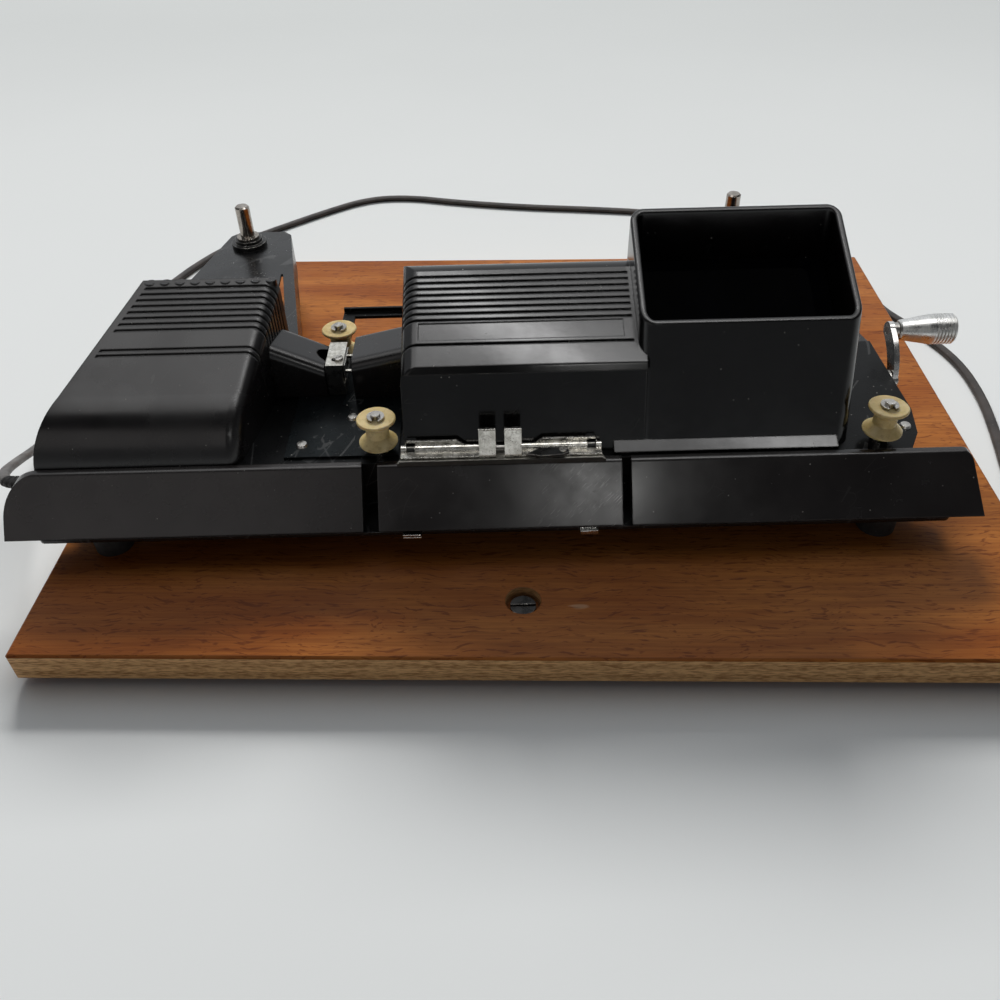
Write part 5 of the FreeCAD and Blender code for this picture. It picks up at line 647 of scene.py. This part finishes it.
route = [at(x, y, z) for x, y, z in CORD_IN_AIR]
route += [at(x, y, CORD_TABLE_Z) for x, y in CORD_ON_TABLE]
inward = [COIL_OUTER - index * COIL_STEP for index in range(COIL_HALF_TURNS)]
climb = inward[-1] - COIL_STEP
outward = [climb + (index + 1) * COIL_STEP for index in range(COIL_HALF_TURNS - 1)]
lower_z = CORD_TABLE_Z + 1.2
start_x = COIL_LEFT
way = 1
height = lower_z
for radius in inward + [climb] + outward:
    rise = COIL_LAYER if radius == climb else 0.0
    middle_x = start_x + way * radius
    for index in range(POINTS_PER_HALF_TURN):
        share = (index + 0.5) / POINTS_PER_HALF_TURN
        angle = math.pi * share
        outside = radius / math.cos(math.pi / POINTS_PER_HALF_TURN / 2.0)
        route.append(
            at(
                middle_x - way * outside * math.cos(angle),
                COIL_MIDDLE_Y - way * outside * math.sin(angle),
                height + rise * share,
            )
        )
    start_x = start_x + 2 * way * radius
    height = height + rise
    way = -way
route.append(at(start_x, COIL_MIDDLE_Y - 10, height))
route.append(at(start_x, COIL_MIDDLE_Y - COIL_TAIL, height))

cord_curve = bpy.data.curves.new("cord_line", "CURVE")
cord_curve.dimensions = "3D"
cord_curve.twist_mode = "Z_UP"
spline = cord_curve.splines.new("NURBS")
spline.points.add(len(route) - 1)
for point, place in zip(spline.points, route):
    point.co = (place.x, place.y, place.z, 1.0)
spline.use_endpoint_u = True
spline.order_u = 3
spline.resolution_u = 6
cord_line = bpy.data.objects.new("cord_line", cord_curve)
bpy.context.scene.collection.objects.link(cord_line)
line_mesh = bpy.data.meshes.new_from_object(cord_line)
cord_path = [vertex.co.copy() for vertex in line_mesh.vertices]

flex, tree, shader, place = started("flex")
cloud = use(tree, patina, Vector=place, Scale=70.0)["Value"]
colour = blend(tree, cloud, (0.018, 0.013, 0.011), (0.048, 0.036, 0.030))
specks = use(tree, dust, Vector=place, Scale=600.0, Size=0.16, Amount=0.3)["Mask"]
tree.links.new(blend(tree, calc(tree, "MULTIPLY", specks, 0.4), colour, (0.30, 0.27, 0.24)), shader.inputs["Base Color"])
tree.links.new(use(tree, patina, Vector=place, Scale=90.0, Low=0.30, High=0.50)["Value"], shader.inputs["Roughness"])
grain = add(tree, "TexNoise", Vector=place, Scale=1400.0, Detail=2.0).outputs["Fac"]
raised(tree, shader, grain, 0.15, 0.0001)

# Two cores side by side: each ring of the flex is a figure of eight that keeps level
cord_ring = []
lobe = CORD_THICKNESS / 2.0
spread = CORD_WIDTH / 2.0 - lobe
for side in (1, -1):
    for index in range(7):
        angle = side * math.radians(-75 + index * 25)
        cord_ring.append((side * (spread + lobe * math.cos(angle)), lobe * math.sin(angle)))
cord_ring.sort(key=lambda corner: math.atan2(corner[1], corner[0]))
vertices = []
faces = []
for index, place in enumerate(cord_path):
    before = cord_path[max(index - 1, 0)]
    after = cord_path[min(index + 1, len(cord_path) - 1)]
    heading = (after - before).normalized()
    level = heading.cross(Vector((0, 0, 1))).normalized()
    lift = level.cross(heading).normalized()
    for out, up in cord_ring:
        vertices.append(place + level * out + lift * up)
count = len(cord_ring)
for index in range(len(cord_path) - 1):
    for corner in range(count):
        following = (corner + 1) % count
        a = index * count + corner
        b = index * count + following
        faces.append((a, b, b + count, a + count))
faces.append(tuple(range(count - 1, -1, -1)))
last = (len(cord_path) - 1) * count
faces.append(tuple(range(last, last + count)))
cord_mesh = bpy.data.meshes.new("cord")
cord_mesh.from_pydata(vertices, [], faces)
cord_mesh.update()
for polygon in cord_mesh.polygons:
    polygon.use_smooth = True
cord_mesh.materials.append(flex)
cord = bpy.data.objects.new("cord", cord_mesh)
bpy.context.scene.collection.objects.link(cord)
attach(cord, "base")
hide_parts("power_cord", "cord_coil")

# Strain relief: a ribbed, tapered rubber sleeve pushed over the lead where it comes out of the grommet.
RELIEF_ROOT = 0.0046
RELIEF_END = 0.0034
RELIEF_COLLAR = 0.0018
RELIEF_RIBS = 7
RELIEF_RIB = 0.0017
RELIEF_GAP = 0.0011
RELIEF_DEPTH = 0.0006
RELIEF_FLATNESS = 0.72

alone()
bpy.ops.mesh.primitive_circle_add(vertices=28, radius=RELIEF_ROOT, fill_type="NGON", rotation=(0, math.pi / 2, 0))
relief = bpy.context.active_object
bpy.ops.object.transform_apply(location=True, rotation=True, scale=True)
bpy.ops.object.mode_set(mode="EDIT")
bpy.ops.mesh.select_all(action="SELECT")
profile = [(RELIEF_COLLAR, RELIEF_ROOT), (0.0002, RELIEF_ROOT - 0.001)]
for index in range(RELIEF_RIBS):
    rib_radius = RELIEF_ROOT - 0.0004 + (RELIEF_END - RELIEF_ROOT) * (index + 1) / RELIEF_RIBS
    profile.append((RELIEF_GAP, rib_radius - RELIEF_DEPTH))
    profile.append((0.0003, rib_radius))
    profile.append((RELIEF_RIB - 0.0006, rib_radius))
    profile.append((0.0003, rib_radius - RELIEF_DEPTH))
reached = 0.0
current = RELIEF_ROOT
for step, radius in profile:
    bpy.ops.mesh.extrude_region_move(TRANSFORM_OT_translate={"value": (step, 0, 0)})
    reached += step
    change = radius / current
    bpy.ops.transform.resize(value=(1, change, change), center_override=(reached, 0, 0))
    current = radius
bpy.ops.mesh.select_all(action="SELECT")
bpy.ops.mesh.normals_make_consistent(inside=False)
bpy.ops.transform.resize(value=(1, 1, RELIEF_FLATNESS), center_override=(0, 0, 0))
bpy.ops.object.mode_set(mode="OBJECT")
bent = relief.modifiers.new("bent", "CURVE")
bent.object = cord_line
bent.deform_axis = "POS_X"
bpy.ops.object.modifier_apply(modifier="bent")
relief = solid("strain_relief", rubber, "base")
bpy.data.objects.remove(cord_line)

bpy.context.scene.view_settings.view_transform = "Standard"
